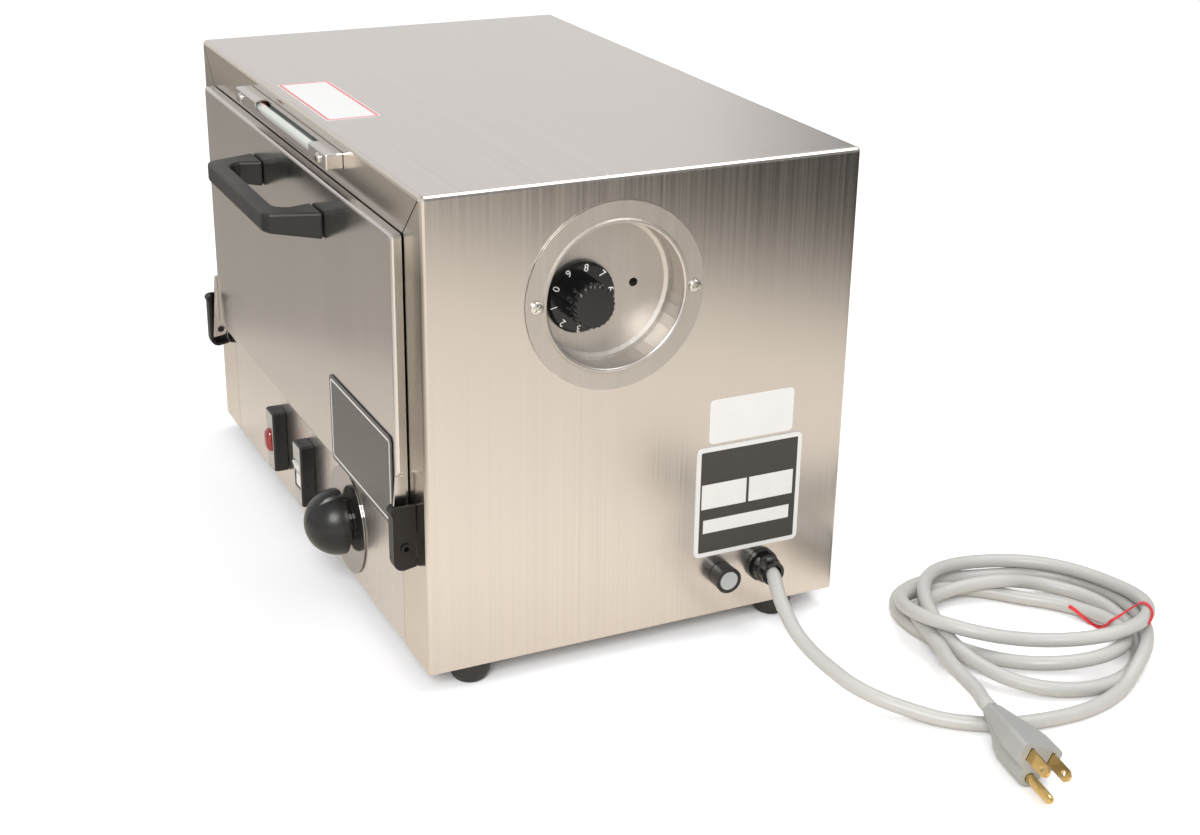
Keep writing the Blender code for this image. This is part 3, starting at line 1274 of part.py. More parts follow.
def cord_gland(machine):
    """A round-shouldered strain relief with a socket that the cord leaves from."""
    centre = (GLAND_CENTRE, GLAND_HEIGHT)
    seat = SIDE + GAP
    tip = GLAND_TIP
    bore = CORD_RADIUS + GLAND_CORD_PLAY
    profile = [
        (0, SIDE - GLAND_TAIL),
        (GLAND_THREAD_RADIUS, SIDE - GLAND_TAIL),
        (GLAND_THREAD_RADIUS, seat),
        (GLAND_FLANGE_RADIUS, seat),
        (GLAND_FLANGE_RADIUS, seat + GLAND_FLANGE),
        (GLAND_BODY_RADIUS, seat + GLAND_FLANGE),
        (GLAND_BODY_RADIUS, seat + GLAND_SHOULDER),
        (GLAND_MOUTH_RADIUS, seat + GLAND_SHOULDER + GLAND_FLANGE / 2),
        (GLAND_MOUTH_RADIUS, tip),
        (bore, tip),
        (bore, tip - GLAND_SOCKET - GAP),
        (0, tip - GLAND_SOCKET - GAP),
    ]
    node("cord_gland", turned("X", centre, profile, 24), GLOSS_BLACK, machine, point("X", *centre, seat))


def chamber_liner(machine):
    """The oven cavity with its mouth flange, which lies behind the casing's front returns."""
    top = RETURN_BOTTOM + LINER_FLANGE_LAP
    bottom = CONTROL_PANEL_TOP + GAP
    half = RETURN_EDGE + LINER_FLANGE_LAP
    sheet = LINER_SHEET
    middle = (CHAMBER_BOTTOM + CHAMBER_TOP) / 2
    height = CHAMBER_TOP - CHAMBER_BOTTOM
    cavity = (0, middle, 2 * CHAMBER_HALF_WIDTH, height, CHAMBER_CORNER_RADIUS)
    skin = (0, middle, 2 * LINER_HALF, height + 2 * sheet, CHAMBER_CORNER_RADIUS + sheet)
    flange = (0, (bottom + top) / 2, 2 * half, top - bottom, PANEL_CORNER_RADIUS)
    rings = [
        (cavity, CHAMBER_BACK),
        (cavity, LINER_FRONT),
        (flange, LINER_FRONT),
        (flange, LINER_FRONT + sheet),
        (skin, LINER_FRONT + sheet),
        (skin, CHAMBER_BACK + sheet),
    ]
    solid = loft([[point("Y", *spot, along) for spot in rounded(*shape)] for shape, along in rings])
    liner = node("chamber_liner", solid, DULL_STEEL, machine)
    reach = (CHAMBER_HALF_WIDTH - OVERRUN, LINER_HALF + OVERRUN)
    cut(liner, rod("X", THERMOSTAT_CENTRE, THERMOSTAT_HEIGHT, PROBE_RADIUS + GAP, *reach))


def insulation(machine):
    """The wool jacket round the liner, with room below the liner for the element."""
    inner_half = LINER_HALF + GAP
    inner_low = INSULATION_FLOOR
    inner_high = LINER_CEILING + GAP
    inner_back = CHAMBER_BACK + LINER_SHEET + GAP
    wool = INSULATION_THICKNESS
    inner = (0, (inner_low + inner_high) / 2, 2 * inner_half, inner_high - inner_low, CHAMBER_CORNER_RADIUS)
    outer = (*inner[:2], inner[2] + 2 * wool, inner[3] + 2 * wool, CHAMBER_CORNER_RADIUS)
    rings = [
        (inner, inner_back),
        (inner, INSULATION_FRONT),
        (outer, INSULATION_FRONT),
        (outer, inner_back + wool),
    ]
    solid = loft([[point("Y", *spot, along) for spot in rounded(*shape)] for shape, along in rings])
    jacket = node("insulation", solid, WHITE_WOOL, machine)
    holes = [
        rod("X", THERMOSTAT_CENTRE, THERMOSTAT_HEIGHT, PROBE_RADIUS + GAP, inner_half - OVERRUN,
            inner_half + wool + OVERRUN)
    ]
    for across, along in element_ends():
        low = inner_low - wool - OVERRUN
        radius = ELEMENT_RADIUS + ELEMENT_HOLE_CLEARANCE
        holes.append(rod("Z", across, along, radius, low, inner_low + OVERRUN))
    cut(jacket, together(*holes))


def element_ends():
    """Where the element's two legs go down through the wool."""
    depth = ELEMENT_PITCH * (ELEMENT_RUN_COUNT - 1)
    middle = (INSULATION_FRONT + CHAMBER_BACK) / 2
    across = -ELEMENT_HALF_RUN - ELEMENT_PITCH / 2
    return ((across, middle - depth / 2), (across, middle + depth / 2))


def heating_element(machine):
    """A tubular element that runs to and fro under the chamber's floor, its ends turned down."""
    (leg, front), (leg, back) = element_ends()
    drop = INSULATION_FLOOR - INSULATION_THICKNESS - ELEMENT_LEG_PROUD
    bend = ELEMENT_RADIUS * 2
    points = [(leg, front, drop), (leg, front, ELEMENT_HEIGHT - bend)]
    points.append((leg + bend / 3, front, ELEMENT_HEIGHT - bend / 3))
    points.append((leg + bend, front, ELEMENT_HEIGHT))
    for run in range(ELEMENT_RUN_COUNT - 1):
        side = 1 - 2 * (run % 2)
        along = front + ELEMENT_PITCH * run
        turn = arc(side * ELEMENT_HALF_RUN, along + ELEMENT_PITCH / 2, ELEMENT_PITCH / 2, -90, 90,
                   ELEMENT_TURN_POINTS)
        for across, place in turn:
            mirrored = 2 * side * ELEMENT_HALF_RUN - across if side < 0 else across
            points.append((mirrored, place, ELEMENT_HEIGHT))
    points.append((leg + bend, back, ELEMENT_HEIGHT))
    points.append((leg + bend / 3, back, ELEMENT_HEIGHT - bend / 3))
    points.append((leg, back, ELEMENT_HEIGHT - bend))
    points.append((leg, back, drop))
    tube("heating_element", points, ELEMENT_RADIUS, ELEMENT_STEEL, machine)


def tube(name, points, radius, finish, parent, resolution=2):
    """A round bar or cord through a run of points in the casing's frame, with closed ends."""
    curve = bpy.data.curves.new(name, "CURVE")
    curve.dimensions = "3D"
    curve.bevel_depth = radius
    curve.bevel_resolution = resolution
    curve.use_fill_caps = True
    spline = curve.splines.new("POLY")
    spline.points.add(len(points) - 1)
    start = Vector(points[0])
    for place, target in zip(points, spline.points):
        target.co = (*(Vector(place) - start), 1)
    curve.materials.append(material(name, finish))
    link(name, curve, parent, start)


def rails(machine):
    """A sheet on each side wall of the chamber, with a ledge for each tray."""
    front = LINER_FRONT + RAIL_FRONT_INSET
    back = CHAMBER_BACK - RAIL_REAR_INSET
    for side, name in ((-1, "left"), (1, "right")):
        outline = [(RAIL_OUTER, RAIL_BOTTOM)]
        outline.append((RAIL_OUTER, RAIL_TOP))
        outline.append((RAIL_FACE, RAIL_TOP))
        for level in TRAY_LEVELS[::-1]:
            outline.append((RAIL_FACE, level))
            outline.append((RAIL_FACE - RAIL_LEDGE, level))
            outline.append((RAIL_FACE - RAIL_LEDGE, level - RAIL_SHEET))
            outline.append((RAIL_FACE, level - RAIL_SHEET))
        outline.append((RAIL_FACE, RAIL_BOTTOM))
        placed = [(side * across, up) for across, up in outline]
        node(f"rail_{name}", prism(placed, "Y", front, back), DULL_STEEL, machine)


def trays(machine):
    """Two slotted trays on the rails' ledges."""
    half = RAIL_FACE - TRAY_SIDE_PLAY
    front = LINER_FRONT + TRAY_FRONT_GAP
    back = CHAMBER_BACK - TRAY_REAR_GAP
    middle = (front + back) / 2
    size = (2 * half, back - front)
    inner = (size[0] - 2 * TRAY_SHEET, size[1] - 2 * TRAY_SHEET)
    for name, level in zip(("lower", "upper"), TRAY_LEVELS):
        floor = level + GAP
        sections = [
            (floor, *size, TRAY_CORNER_RADIUS),
            (floor + TRAY_RIM, *size, TRAY_CORNER_RADIUS),
            (floor + TRAY_RIM, *inner, TRAY_CORNER_RADIUS - TRAY_SHEET),
            (floor + TRAY_SHEET, *inner, TRAY_CORNER_RADIUS - TRAY_SHEET),
        ]
        solid = stack("Z", (0, middle), sections)
        tray = node(f"tray_{name}", solid, DULL_STEEL, machine, (0, front, floor))
        cut(tray, together(*tray_slots(half, front, back, floor)))


def tray_slots(half, front, back, floor):
    slots = []
    margin = RAIL_LEDGE + TRAY_SLOT_MARGIN
    width = 2 * (half - margin)
    depth = back - front - 2 * TRAY_SLOT_MARGIN
    length = depth / TRAY_SLOT_ROWS - TRAY_SLOT_BRIDGE
    for column in range(TRAY_SLOT_COLUMNS):
        across = -width / 2 + width * column / (TRAY_SLOT_COLUMNS - 1)
        for row in range(TRAY_SLOT_ROWS):
            along = front + TRAY_SLOT_MARGIN + depth * (row + 0.5) / TRAY_SLOT_ROWS
            low = (across - TRAY_SLOT_WIDTH / 2, along - length / 2, floor - OVERRUN)
            high = (across + TRAY_SLOT_WIDTH / 2, along + length / 2, floor + TRAY_SHEET + OVERRUN)
            slots.append(box(low, high))
    return slots


def smooth_route(route, per_span):
    """A smooth curve through a route's points, as points spaced evenly between each pair."""
    places = [Vector(place) for place in route]
    padded = [2 * places[0] - places[1], *places, 2 * places[-1] - places[-2]]
    points = []
    for before, start, end, after in zip(padded, padded[1:], padded[2:], padded[3:]):
        for i in range(per_span):
            t = i / per_span
            points.append(
                0.5 * (2 * start + (end - before) * t + (2 * before - 5 * start + 4 * end - after) * t * t
                       + (3 * start - before - 3 * end + after) * t ** 3)
            )
    points.append(places[-1])
    return points


def cord(machine):
    """The lead from the gland, the outer shape of its coil, and the tail from the coil to the plug."""
    tube("cord_lead", smooth_route(LEAD_ROUTE, LEAD_POINTS_PER_SPAN), CORD_RADIUS, CORD_GREY, machine)
    low = FLOOR + CORD_FLOOR_CLEARANCE
    high = low + COIL_HEIGHT
    edge = COIL_EDGE
    profile = [
        (COIL_INNER_RADIUS, low),
        (COIL_OUTER_RADIUS, low),
        (COIL_OUTER_RADIUS, high - edge),
        (COIL_OUTER_RADIUS - edge, high),
        (COIL_INNER_RADIUS + edge, high),
        (COIL_INNER_RADIUS, high - edge),
    ]
    centre = (COIL_CENTRE_RIGHT, COIL_CENTRE_BACK)
    coil = turned("Z", centre, profile, 40)
    node("cord_coil", coil, CORD_GREY, machine, (*centre, low))
    neck = -PLUG_BODY_LENGTH - GAP
    ends = [plug_matrix() @ Vector((neck - run, 0, -PLUG_NECK_DROP)) for run in (2 * CORD_RADIUS, 0)]
    tail = smooth_route((*TAIL_ROUTE, *ends), LEAD_POINTS_PER_SPAN)
    tube("cord_tail", tail, CORD_RADIUS, CORD_GREY, machine)


def plug_matrix():
    heading = Matrix.Rotation(math.radians(PLUG_HEADING_DEG), 4, "Z")
    pitch = Matrix.Rotation(math.radians(-PLUG_PITCH_DEG), 4, "Y")
    roll = Matrix.Rotation(math.radians(PLUG_ROLL_DEG), 4, "X")
    return Matrix.Translation((PLUG_RIGHT, PLUG_BACK, PLUG_HEIGHT)) @ heading @ pitch @ roll


def plug_outline(steps=6):
    """The plug's section across its length: a flat-topped body with a lobe round the ground pin."""
    half = PLUG_BODY_WIDTH / 2
    corner = PLUG_BODY_CORNER
    top = PLUG_BODY_TOP
    side_low = -PLUG_BODY_SHOULDER
    points = [*arc(half - corner, top - corner, corner, 0, 90, 2)]
    points += arc(-half + corner, top - corner, corner, 90, 180, 2)
    points.append((-half, side_low))
    points.append((-PLUG_LOBE_RADIUS, side_low - corner * 2))
    points += arc(0, -GROUND_DROP, PLUG_LOBE_RADIUS, 180, 360, steps)
    points.append((PLUG_LOBE_RADIUS, side_low - corner * 2))
    points.append((half, side_low))
    return points


def plug_body_solid():
    """The moulded body, lofted from its face back to the round neck."""
    face = plug_outline()
    middle = (0, -PLUG_NECK_DROP)
    neck = []
    for across, up in face:
        angle = math.atan2(up + GROUND_DROP / 3, across)
        neck.append((PLUG_NECK_RADIUS * math.cos(angle), middle[1] + PLUG_NECK_RADIUS * math.sin(angle)))

    def blend(body_share, lobe_share):
        mixed = []
        for (across, up), (round_x, round_y) in zip(face, neck):
            share = lobe_share if up < -PLUG_BODY_SHOULDER else body_share
            mixed.append((across + (round_x - across) * share, up + (round_y - up) * share))
        return mixed

    rings = []
    for length_share, body_share, lobe_share in PLUG_STATION_SHARES:
        outline = blend(body_share, lobe_share)
        rings.append([point("X", across, up, -PLUG_BODY_LENGTH * length_share) for across, up in outline])
    return loft(rings)


def plug(machine):
    """A moulded three-pin plug in its own frame: X out along the blades, the ground pin below."""
    group = empty("plug", (PLUG_RIGHT, PLUG_BACK, PLUG_HEIGHT), machine)
    group.rotation_euler = plug_matrix().to_euler()
    group["place"] = (0.0, 0.0, 0.0)
    body = node("plug_body", plug_body_solid(), PLUG_GREY, group)
    sockets = []
    half_wide = BLADE_WIDTH / 2
    half_thick = BLADE_THICKNESS / 2
    for side, name in ((-1, "live"), (1, "neutral")):
        across = side * BLADE_SPACING / 2
        low = (-BLADE_ROOT, across - half_thick, -half_wide)
        high = (BLADE_LENGTH, across + half_thick, half_wide)
        sockets.append(box([value - GAP for value in low], (OVERRUN, high[1] + GAP, high[2] + GAP)))
        nose = BLADE_WIDTH / 3
        outline = [(-BLADE_ROOT, -half_wide), (BLADE_LENGTH - nose, -half_wide)]
        outline += [(BLADE_LENGTH, -half_wide + nose), (BLADE_LENGTH, half_wide - nose)]
        outline += [(BLADE_LENGTH - nose, half_wide), (-BLADE_ROOT, half_wide)]
        bm = prism(outline, "Y", across - half_thick, across + half_thick)
        blade = node(f"plug_blade_{name}", bm, BRASS, group)
        hole = BLADE_LENGTH - BLADE_HOLE_SETBACK
        reach = (across - half_thick - OVERRUN, across + half_thick + OVERRUN)
        cut(blade, rod("Y", hole, 0, BLADE_HOLE_RADIUS, *reach, 12))
    sockets.append(rod("X", 0, -GROUND_DROP, GROUND_RADIUS + GAP, -BLADE_ROOT - GAP, OVERRUN))
    profile = [(0, -BLADE_ROOT), (GROUND_RADIUS, -BLADE_ROOT), (GROUND_RADIUS, GROUND_LENGTH - GROUND_RADIUS)]
    profile += [(GROUND_RADIUS * 3 / 4, GROUND_LENGTH - GROUND_RADIUS / 3), (0, GROUND_LENGTH)]
    node("plug_pin_ground", turned("X", (0, -GROUND_DROP), profile, 14), BRASS, group)
    cut(body, together(*sockets))


def main():
    clear_scene()
    machine = empty("sterilizer", (-ORIGIN_X, -ORIGIN_Y, -FLOOR))
    door = empty("door", (0.0, HINGE_Y, HINGE_HEIGHT), machine)
    casing_wrap(machine)
    base_pan(machine)
    rear_panel(machine)
    control_panel(machine)
    feet(machine)
    chamber_liner(machine)
    insulation(machine)
    heating_element(machine)
    rails(machine)
    trays(machine)
    door_pan(door)
    door_inner_panel(door)
    door_gasket(door)
    door_handle(door)
    low = (DOOR_PLATE_RIGHT - DOOR_PLATE_WIDTH, DOOR_PLATE_BOTTOM)
    high = (DOOR_PLATE_RIGHT, DOOR_PLATE_BOTTOM + DOOR_PLATE_HEIGHT)
    thin_plate("door_plate", "Y", low, high, DOOR_FACE, -1, PLATE_BLACK, door)
    for side, name in ((-1, "left"), (1, "right")):
        hinge(side, name, machine, door)
    thermometer(machine)
    lamp(machine)
    switch(machine)
    timer(machine)
    well(machine)
    thermostat(machine)
    breaker(machine)
    low = (RATING_PLATE_REAR - RATING_PLATE_SIZE, RATING_PLATE_BOTTOM)
    high = (RATING_PLATE_REAR, RATING_PLATE_BOTTOM + RATING_PLATE_SIZE)
    thin_plate("rating_plate", "X", low, high, SIDE, 1, PLATE_BLACK, machine)
    cord_gland(machine)
    cord(machine)
    plug(machine)


main()
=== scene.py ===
"""The looks of a bench dry heat sterilizer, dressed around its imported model: metres, +Z up."""

import json
import math

import bmesh
import bpy
from mathutils import Matrix, Vector

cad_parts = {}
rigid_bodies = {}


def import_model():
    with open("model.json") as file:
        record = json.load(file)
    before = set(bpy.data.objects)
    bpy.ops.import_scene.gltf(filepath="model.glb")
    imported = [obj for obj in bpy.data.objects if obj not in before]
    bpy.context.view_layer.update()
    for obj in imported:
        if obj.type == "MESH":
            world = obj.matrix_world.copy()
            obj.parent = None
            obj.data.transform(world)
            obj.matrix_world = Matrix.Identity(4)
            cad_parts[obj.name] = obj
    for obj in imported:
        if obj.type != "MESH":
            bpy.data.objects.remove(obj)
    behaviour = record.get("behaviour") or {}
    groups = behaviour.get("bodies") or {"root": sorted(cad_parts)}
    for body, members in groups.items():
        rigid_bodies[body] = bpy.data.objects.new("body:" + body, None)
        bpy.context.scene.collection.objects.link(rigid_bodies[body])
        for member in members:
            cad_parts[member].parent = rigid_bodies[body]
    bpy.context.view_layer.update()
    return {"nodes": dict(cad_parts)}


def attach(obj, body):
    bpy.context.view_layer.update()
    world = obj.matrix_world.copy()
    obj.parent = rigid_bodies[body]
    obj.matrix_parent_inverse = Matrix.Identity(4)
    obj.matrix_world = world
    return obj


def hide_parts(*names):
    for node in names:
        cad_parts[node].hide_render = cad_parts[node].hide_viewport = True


for startup in list(bpy.data.objects):
    bpy.data.objects.remove(startup, do_unlink=True)
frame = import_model()
MM = 0.001

# The casing's own frame, in which the part is modelled, and where it stands here. A face is a place
# along the axis that it faces. A middle on a face is a pair: X and Z on the front, Y and Z on the side,
# X and Y on the top.
CASING = Vector((-0.0069, 0.0176, 0.0120))
FRONT = -0.121
SIDE = 0.195
TOP = 0.254
DOOR_PLATE_FACE = -0.1284
RATING_PLATE_FACE = 0.1959
BEZEL_FACE = -0.1297
LAMP_CENTRE = (-0.0546, 0.0350)
SWITCH_CENTRE = (0.0013, 0.0350)
TIMER_CENTRE = (0.0679, 0.0331)
WELL_CENTRE = (-0.0187, 0.1921)
THERMOSTAT_CENTRE = (-0.0313, 0.1888)
TOP_LABEL_CENTRE = (-0.006, -0.0997)

# The mains cord: its route from the gland, its coil and its tail, in the casing's frame
CORD_DIAMETER = 0.0078
FLOOR_LINE = -0.0080  # the cord's middle where it lies on the table
LEAD_ROUTE = (
    (0.2020, 0.0735, 0.0244),
    (0.2085, 0.0734, 0.0240),
    (0.2160, 0.0713, 0.0210),
    (0.2235, 0.0694, 0.0172),
    (0.2330, 0.0681, 0.0128),
    (0.2424, 0.0673, 0.0089),
    (0.2518, 0.0678, 0.0055),
    (0.2636, 0.0688, 0.0030),
    (0.2780, 0.0711, 0.0008),
    (0.2908, 0.0738, -0.0008),
    (0.3053, 0.0817, -0.0032),
    (0.3180, 0.0938, -0.0062),
    (0.3283, 0.1046, -0.0079),
    (0.3378, 0.1168, -0.0080),
    (0.3454, 0.1327, -0.0080),
    (0.3497, 0.1525, -0.0080),
    (0.3508, 0.1724, -0.0080),
    (0.3478, 0.1910, -0.0080),
    (0.3412, 0.2080, -0.0080),
)
TAIL_ROUTE = (
    (0.2775, 0.1375, 0.0000),
    (0.2880, 0.1340, 0.0001),
    (0.2992, 0.1312, 0.0003),
    (0.3150, 0.1284, 0.0010),
    (0.3260, 0.1259, 0.0020),
)
COIL_CENTRE = (0.262, 0.212)
# How far out and how high the coil's line is pulled, in millimetres, every eighth of a turn
COIL_PULLS = (
    (104.8, -5.8), (75.3, -1.3), (56.0, 1.5), (55.6, -8.0), (60.4, -8.0), (48.0, -8.0),
    (88.5, -8.0), (57.4, -8.0), (59.1, -3.6), (63.5, 3.8), (46.9, -4.9), (27.1, -8.0),
    (22.1, -7.7), (25.5, -8.0), (74.4, -6.7), (79.7, 14.8), (39.0, 1.2), (51.7, 8.5),
    (62.6, 9.6), (55.4, -0.3), (53.5, 0.9), (60.4, -2.0), (61.9, 7.5), (61.7, 3.8),
    (80.2, -6.9), (74.7, -8.0), (51.3, -8.0), (47.3, -8.0), (42.5, -8.0), (23.7, 4.9),
    (58.6, -8.0), (74.8, 5.1), (84.6, -8.0),
)
COIL_STEPS = 3
PLUG_PLACE = (0.3912, 0.1146, 0.0045)
PLUG_TURNS_DEG = (-8.3, 1.0, -21.8)  # its heading, pitch and roll
PLUG_NECK = (-0.0468, 0.0, -0.0022)

# The twist tie's middle line and the way its flat side faces, in the casing's frame
TIE_LINE = (
    ((0.2611, 0.2368, -0.0054), (0.35, -0.55, 0.76)),
    ((0.2650, 0.2383, -0.0065), (0.35, -0.55, 0.76)),
    ((0.2692, 0.2399, -0.0085), (0.30, -0.45, 0.84)),
    ((0.2732, 0.2417, -0.0104), (0.20, -0.30, 0.93)),
    ((0.2775, 0.2433, -0.0112), (0.10, -0.40, 0.91)),
    ((0.2830, 0.2428, -0.0092), (0.00, -0.90, 0.44)),
    ((0.2872, 0.2419, -0.0055), (-0.10, -0.95, 0.30)),
    ((0.2897, 0.2426, -0.0014), (-0.15, -0.62, 0.77)),
    ((0.2899, 0.2468, 0.0000), (-0.05, 0.05, 1.00)),
    ((0.2884, 0.2522, 0.0004), (-0.20, -0.40, 0.90)),
    ((0.2902, 0.2549, 0.0036), (-0.40, -0.60, 0.69)),
    ((0.2926, 0.2560, 0.0064), (-0.55, -0.62, 0.56)),
    ((0.2965, 0.2560, 0.0099), (-0.56, -0.60, 0.57)),
    ((0.3022, 0.2547, 0.0120), (-0.25, -0.12, 0.96)),
    ((0.3083, 0.2527, 0.0119), (0.34, 0.36, 0.87)),
    ((0.3125, 0.2493, 0.0109), (0.65, 0.44, 0.62)),
    ((0.3152, 0.2453, 0.0080), (0.90, 0.42, 0.10)),
)
TIE_WIDTH = 0.0021
TIE_THICKNESS = 0.0006


def place(point):
    """A point of the casing's frame, where it stands here."""
    return Vector(point) + CASING


def link(name, data):
    """A new object in the scene."""
    made = bpy.data.objects.new(name, data)
    bpy.context.scene.collection.objects.link(made)
    return made


def smooth_line(points, steps):
    """A smooth curve through points, as more points."""
    padded = [2 * points[0] - points[1], *points, 2 * points[-1] - points[-2]]
    line = []
    for before, start, end, after in zip(padded, padded[1:], padded[2:], padded[3:]):
        for i in range(steps):
            t = i / steps
            squared = 2 * before - 5 * start + 4 * end - after
            cubed = 3 * start - before - 3 * end + after
            line.append(0.5 * (2 * start + (end - before) * t + squared * t * t + cubed * t ** 3))
    line.append(points[-1])
    return line


def coil_points():
    """The coil's turns, as a spline that its pulls bend: 24 points for each turn."""
    points = []
    eighth = math.pi / 4
    for index, pulls in enumerate(zip(COIL_PULLS, COIL_PULLS[1:], COIL_PULLS[2:], COIL_PULLS[3:])):
        for step in range(COIL_STEPS):
            t = step / COIL_STEPS
            weights = (
                (1 - t) ** 3, 3 * t ** 3 - 6 * t * t + 4, -3 * t ** 3 + 3 * t * t + 3 * t + 1, t ** 3
            )
            reach, height = (
                sum(weight * pull[i] for weight, pull in zip(weights, pulls)) / 6 * MM for i in (0, 1)
            )
            angle = eighth * (index + t)
            points.append(Vector((
                COIL_CENTRE[0] + reach * math.cos(angle), COIL_CENTRE[1] + reach * math.sin(angle),
                max(height, FLOOR_LINE),
            )))
    return points


def plug_matrix():
    heading, pitch, roll = (math.radians(turn) for turn in PLUG_TURNS_DEG)
    turn = Matrix.Rotation(heading, 4, "Z") @ Matrix.Rotation(pitch, 4, "Y") @ Matrix.Rotation(roll, 4, "X")
    return Matrix.Translation(PLUG_PLACE) @ turn


def tube(name, points, radius, finish):
    """A round cord along points in the casing's frame."""
    curve = bpy.data.curves.new(name, "CURVE")
    curve.dimensions = "3D"
    curve.bevel_depth = radius
    curve.bevel_resolution = 6
    curve.use_fill_caps = True
    spline = curve.splines.new("POLY")
    spline.points.add(len(points) - 1)
    for target, point in zip(spline.points, points):
        target.co = (*place(point), 1)
    curve.materials.append(finish)
    return link(name, curve)


# Materials
def add(tree, kind, inputs=None, **settings):
    """One node, with its settings and its inputs: values, or sockets to link."""
    made = tree.nodes.new("ShaderNode" + kind)
    for name, value in settings.items():
        setattr(made, name, value)
    for socket, value in (inputs or {}).items():
        if isinstance(value, bpy.types.NodeSocket):
            tree.links.new(value, made.inputs[socket])
        else:
            made.inputs[socket].default_value = value
    return made


def object_place(tree):
    """The object's own coordinates."""
    return add(tree, "TexCoord").outputs["Object"]


def noise(tree, scale, detail=3.0, roughness=0.5):
    """Noise in the object's own coordinates, stretched by one scale, or by a scale for each axis."""
    scales = scale if isinstance(scale, tuple) else (scale, scale, scale)
    stretched = add(tree, "Mapping", {"Vector": object_place(tree), "Scale": scales})
    made = add(tree, "TexNoise", {
        "Vector": stretched.outputs["Vector"], "Scale": 1.0, "Detail": detail, "Roughness": roughness,
    })
    return made.outputs[0]


def span(tree, value, low, high, start=0.3, end=0.7):
    """A value that goes from low to high while its source goes from start to end."""
    return add(tree, "MapRange", {
        "Value": value, "From Min": start, "From Max": end, "To Min": low, "To Max": high,
    }).outputs[0]


def math_node(tree, operation, first, second):
    return add(tree, "Math", {0: first, 1: second}, operation=operation).outputs[0]


def two_tones(tree, factor, first, second):
    mixed = add(tree, "Mix", {0: factor, 6: (*first, 1.0), 7: (*second, 1.0)}, data_type="RGBA")
    return mixed.outputs[2]


def bare_material(name):
    """A material without nodes, and its tree."""
    made = bpy.data.materials.new(name)
    made.use_nodes = True
    made.node_tree.nodes.clear()
    return made, made.node_tree


def look(name, colour, *, roughness, shift, shift_scale, spread, grain, bump, metallic=0.0,
         bump_size=0.00004, **sockets):
    """A finish whose colour drifts by its shift, and whose grain varies its roughness and its surface."""
    made = bpy.data.materials.new(name)
    made.use_nodes = True
    tree = made.node_tree
    shader = tree.nodes["Principled BSDF"]
    shader.inputs["Metallic"].default_value = metallic
    for socket, value in sockets.items():
        shader.inputs[socket.replace("_", " ")].default_value = value
    drift = noise(tree, shift_scale)
    fine = noise(tree, grain, detail=4.0, roughness=0.6)
    drift_share = 0.6
    mixed = math_node(tree, "ADD", math_node(tree, "MULTIPLY", drift, drift_share),
                      math_node(tree, "MULTIPLY", fine, 1 - drift_share))
    dark = [channel * (1 - shift) for channel in colour]
    light = [min(1.0, channel * (1 + shift)) for channel in colour]
    tree.links.new(two_tones(tree, span(tree, mixed, 0.0, 1.0), dark, light), shader.inputs["Base Color"])
    tree.links.new(span(tree, mixed, roughness - spread, roughness + spread), shader.inputs["Roughness"])
    relief = add(tree, "Bump", {"Strength": bump, "Distance": bump_size, "Height": fine})
    tree.links.new(relief.outputs[0], shader.inputs["Normal"])
    return made


STEEL_TINT = (0.65, 0.625, 0.60)
WRAP_STEEL = (0.64, 0.60, 0.565)
# The polished returns' own tone, and the painted shade laid on them in the gap beside the door
RETURN_PALE = (0.70, 0.65, 0.585)
RETURN_PAINTED_SHADE = (0.25, 0.225, 0.185)


def wrap_look():
    """The casing's sheet: brushed on its top and sides, polished on its front returns, with painted shade
    on the returns' middle heights.
    """
    brushing = 0.22
    returns_end, sides_start = 0.0004, 0.0022  # behind the front
    # painted shade deepens between the first two heights and fades between the last two
    painted_shade_from, painted_shade_to, painted_shade_fade_from, painted_shade_fade_to = 0.07, 0.14, 0.225, 0.257  # heights on the returns
    brushed_rough, polished_rough = (0.20, 0.29), (0.19, 0.23)
    made = look("casing sheet", WRAP_STEEL, roughness=0.225, metallic=1.0, shift=0.06,
                shift_scale=(1.2, 640, 1.2), spread=0.04, grain=(2.5, 1300, 2.5), bump=brushing)
    tree = made.node_tree
    shader = tree.nodes["Principled BSDF"]
    parts = add(tree, "SeparateXYZ", {0: object_place(tree)}).outputs
    front = FRONT + CASING.y
    brushed = span(tree, parts["Y"], 0.0, 1.0, front + returns_end, front + sides_start)

    rough = shader.inputs["Roughness"].links[0].from_socket
    polished = span(tree, rough, *polished_rough, *brushed_rough)
    share = add(tree, "Mix", {0: brushed, 2: polished, 3: rough}, data_type="FLOAT").outputs[0]
    tree.links.new(share, shader.inputs["Roughness"])

    relief = shader.inputs["Normal"].links[0].from_node
    tree.links.new(math_node(tree, "MULTIPLY", brushed, brushing), relief.inputs["Strength"])

    # Painted shade: the returns turn deep between their middle heights, standing in for the shadow in the
    # gap beside the door, then pale again near the top
    tone = shader.inputs["Base Color"].links[0].from_socket
    painted_shade_rises = span(tree, parts["Z"], 0.0, 1.0, painted_shade_from, painted_shade_to)
    painted_shade_fades = span(tree, parts["Z"], 0.0, 1.0, painted_shade_fade_from, painted_shade_fade_to)
    shade = math_node(tree, "SUBTRACT", painted_shade_rises, painted_shade_fades)
    shaded = two_tones(tree, shade, RETURN_PALE, RETURN_PAINTED_SHADE)
    returns = add(tree, "Mix", {0: brushed, 6: shaded, 7: tone}, data_type="RGBA").outputs[2]
    tree.links.new(returns, shader.inputs["Base Color"])
    return made


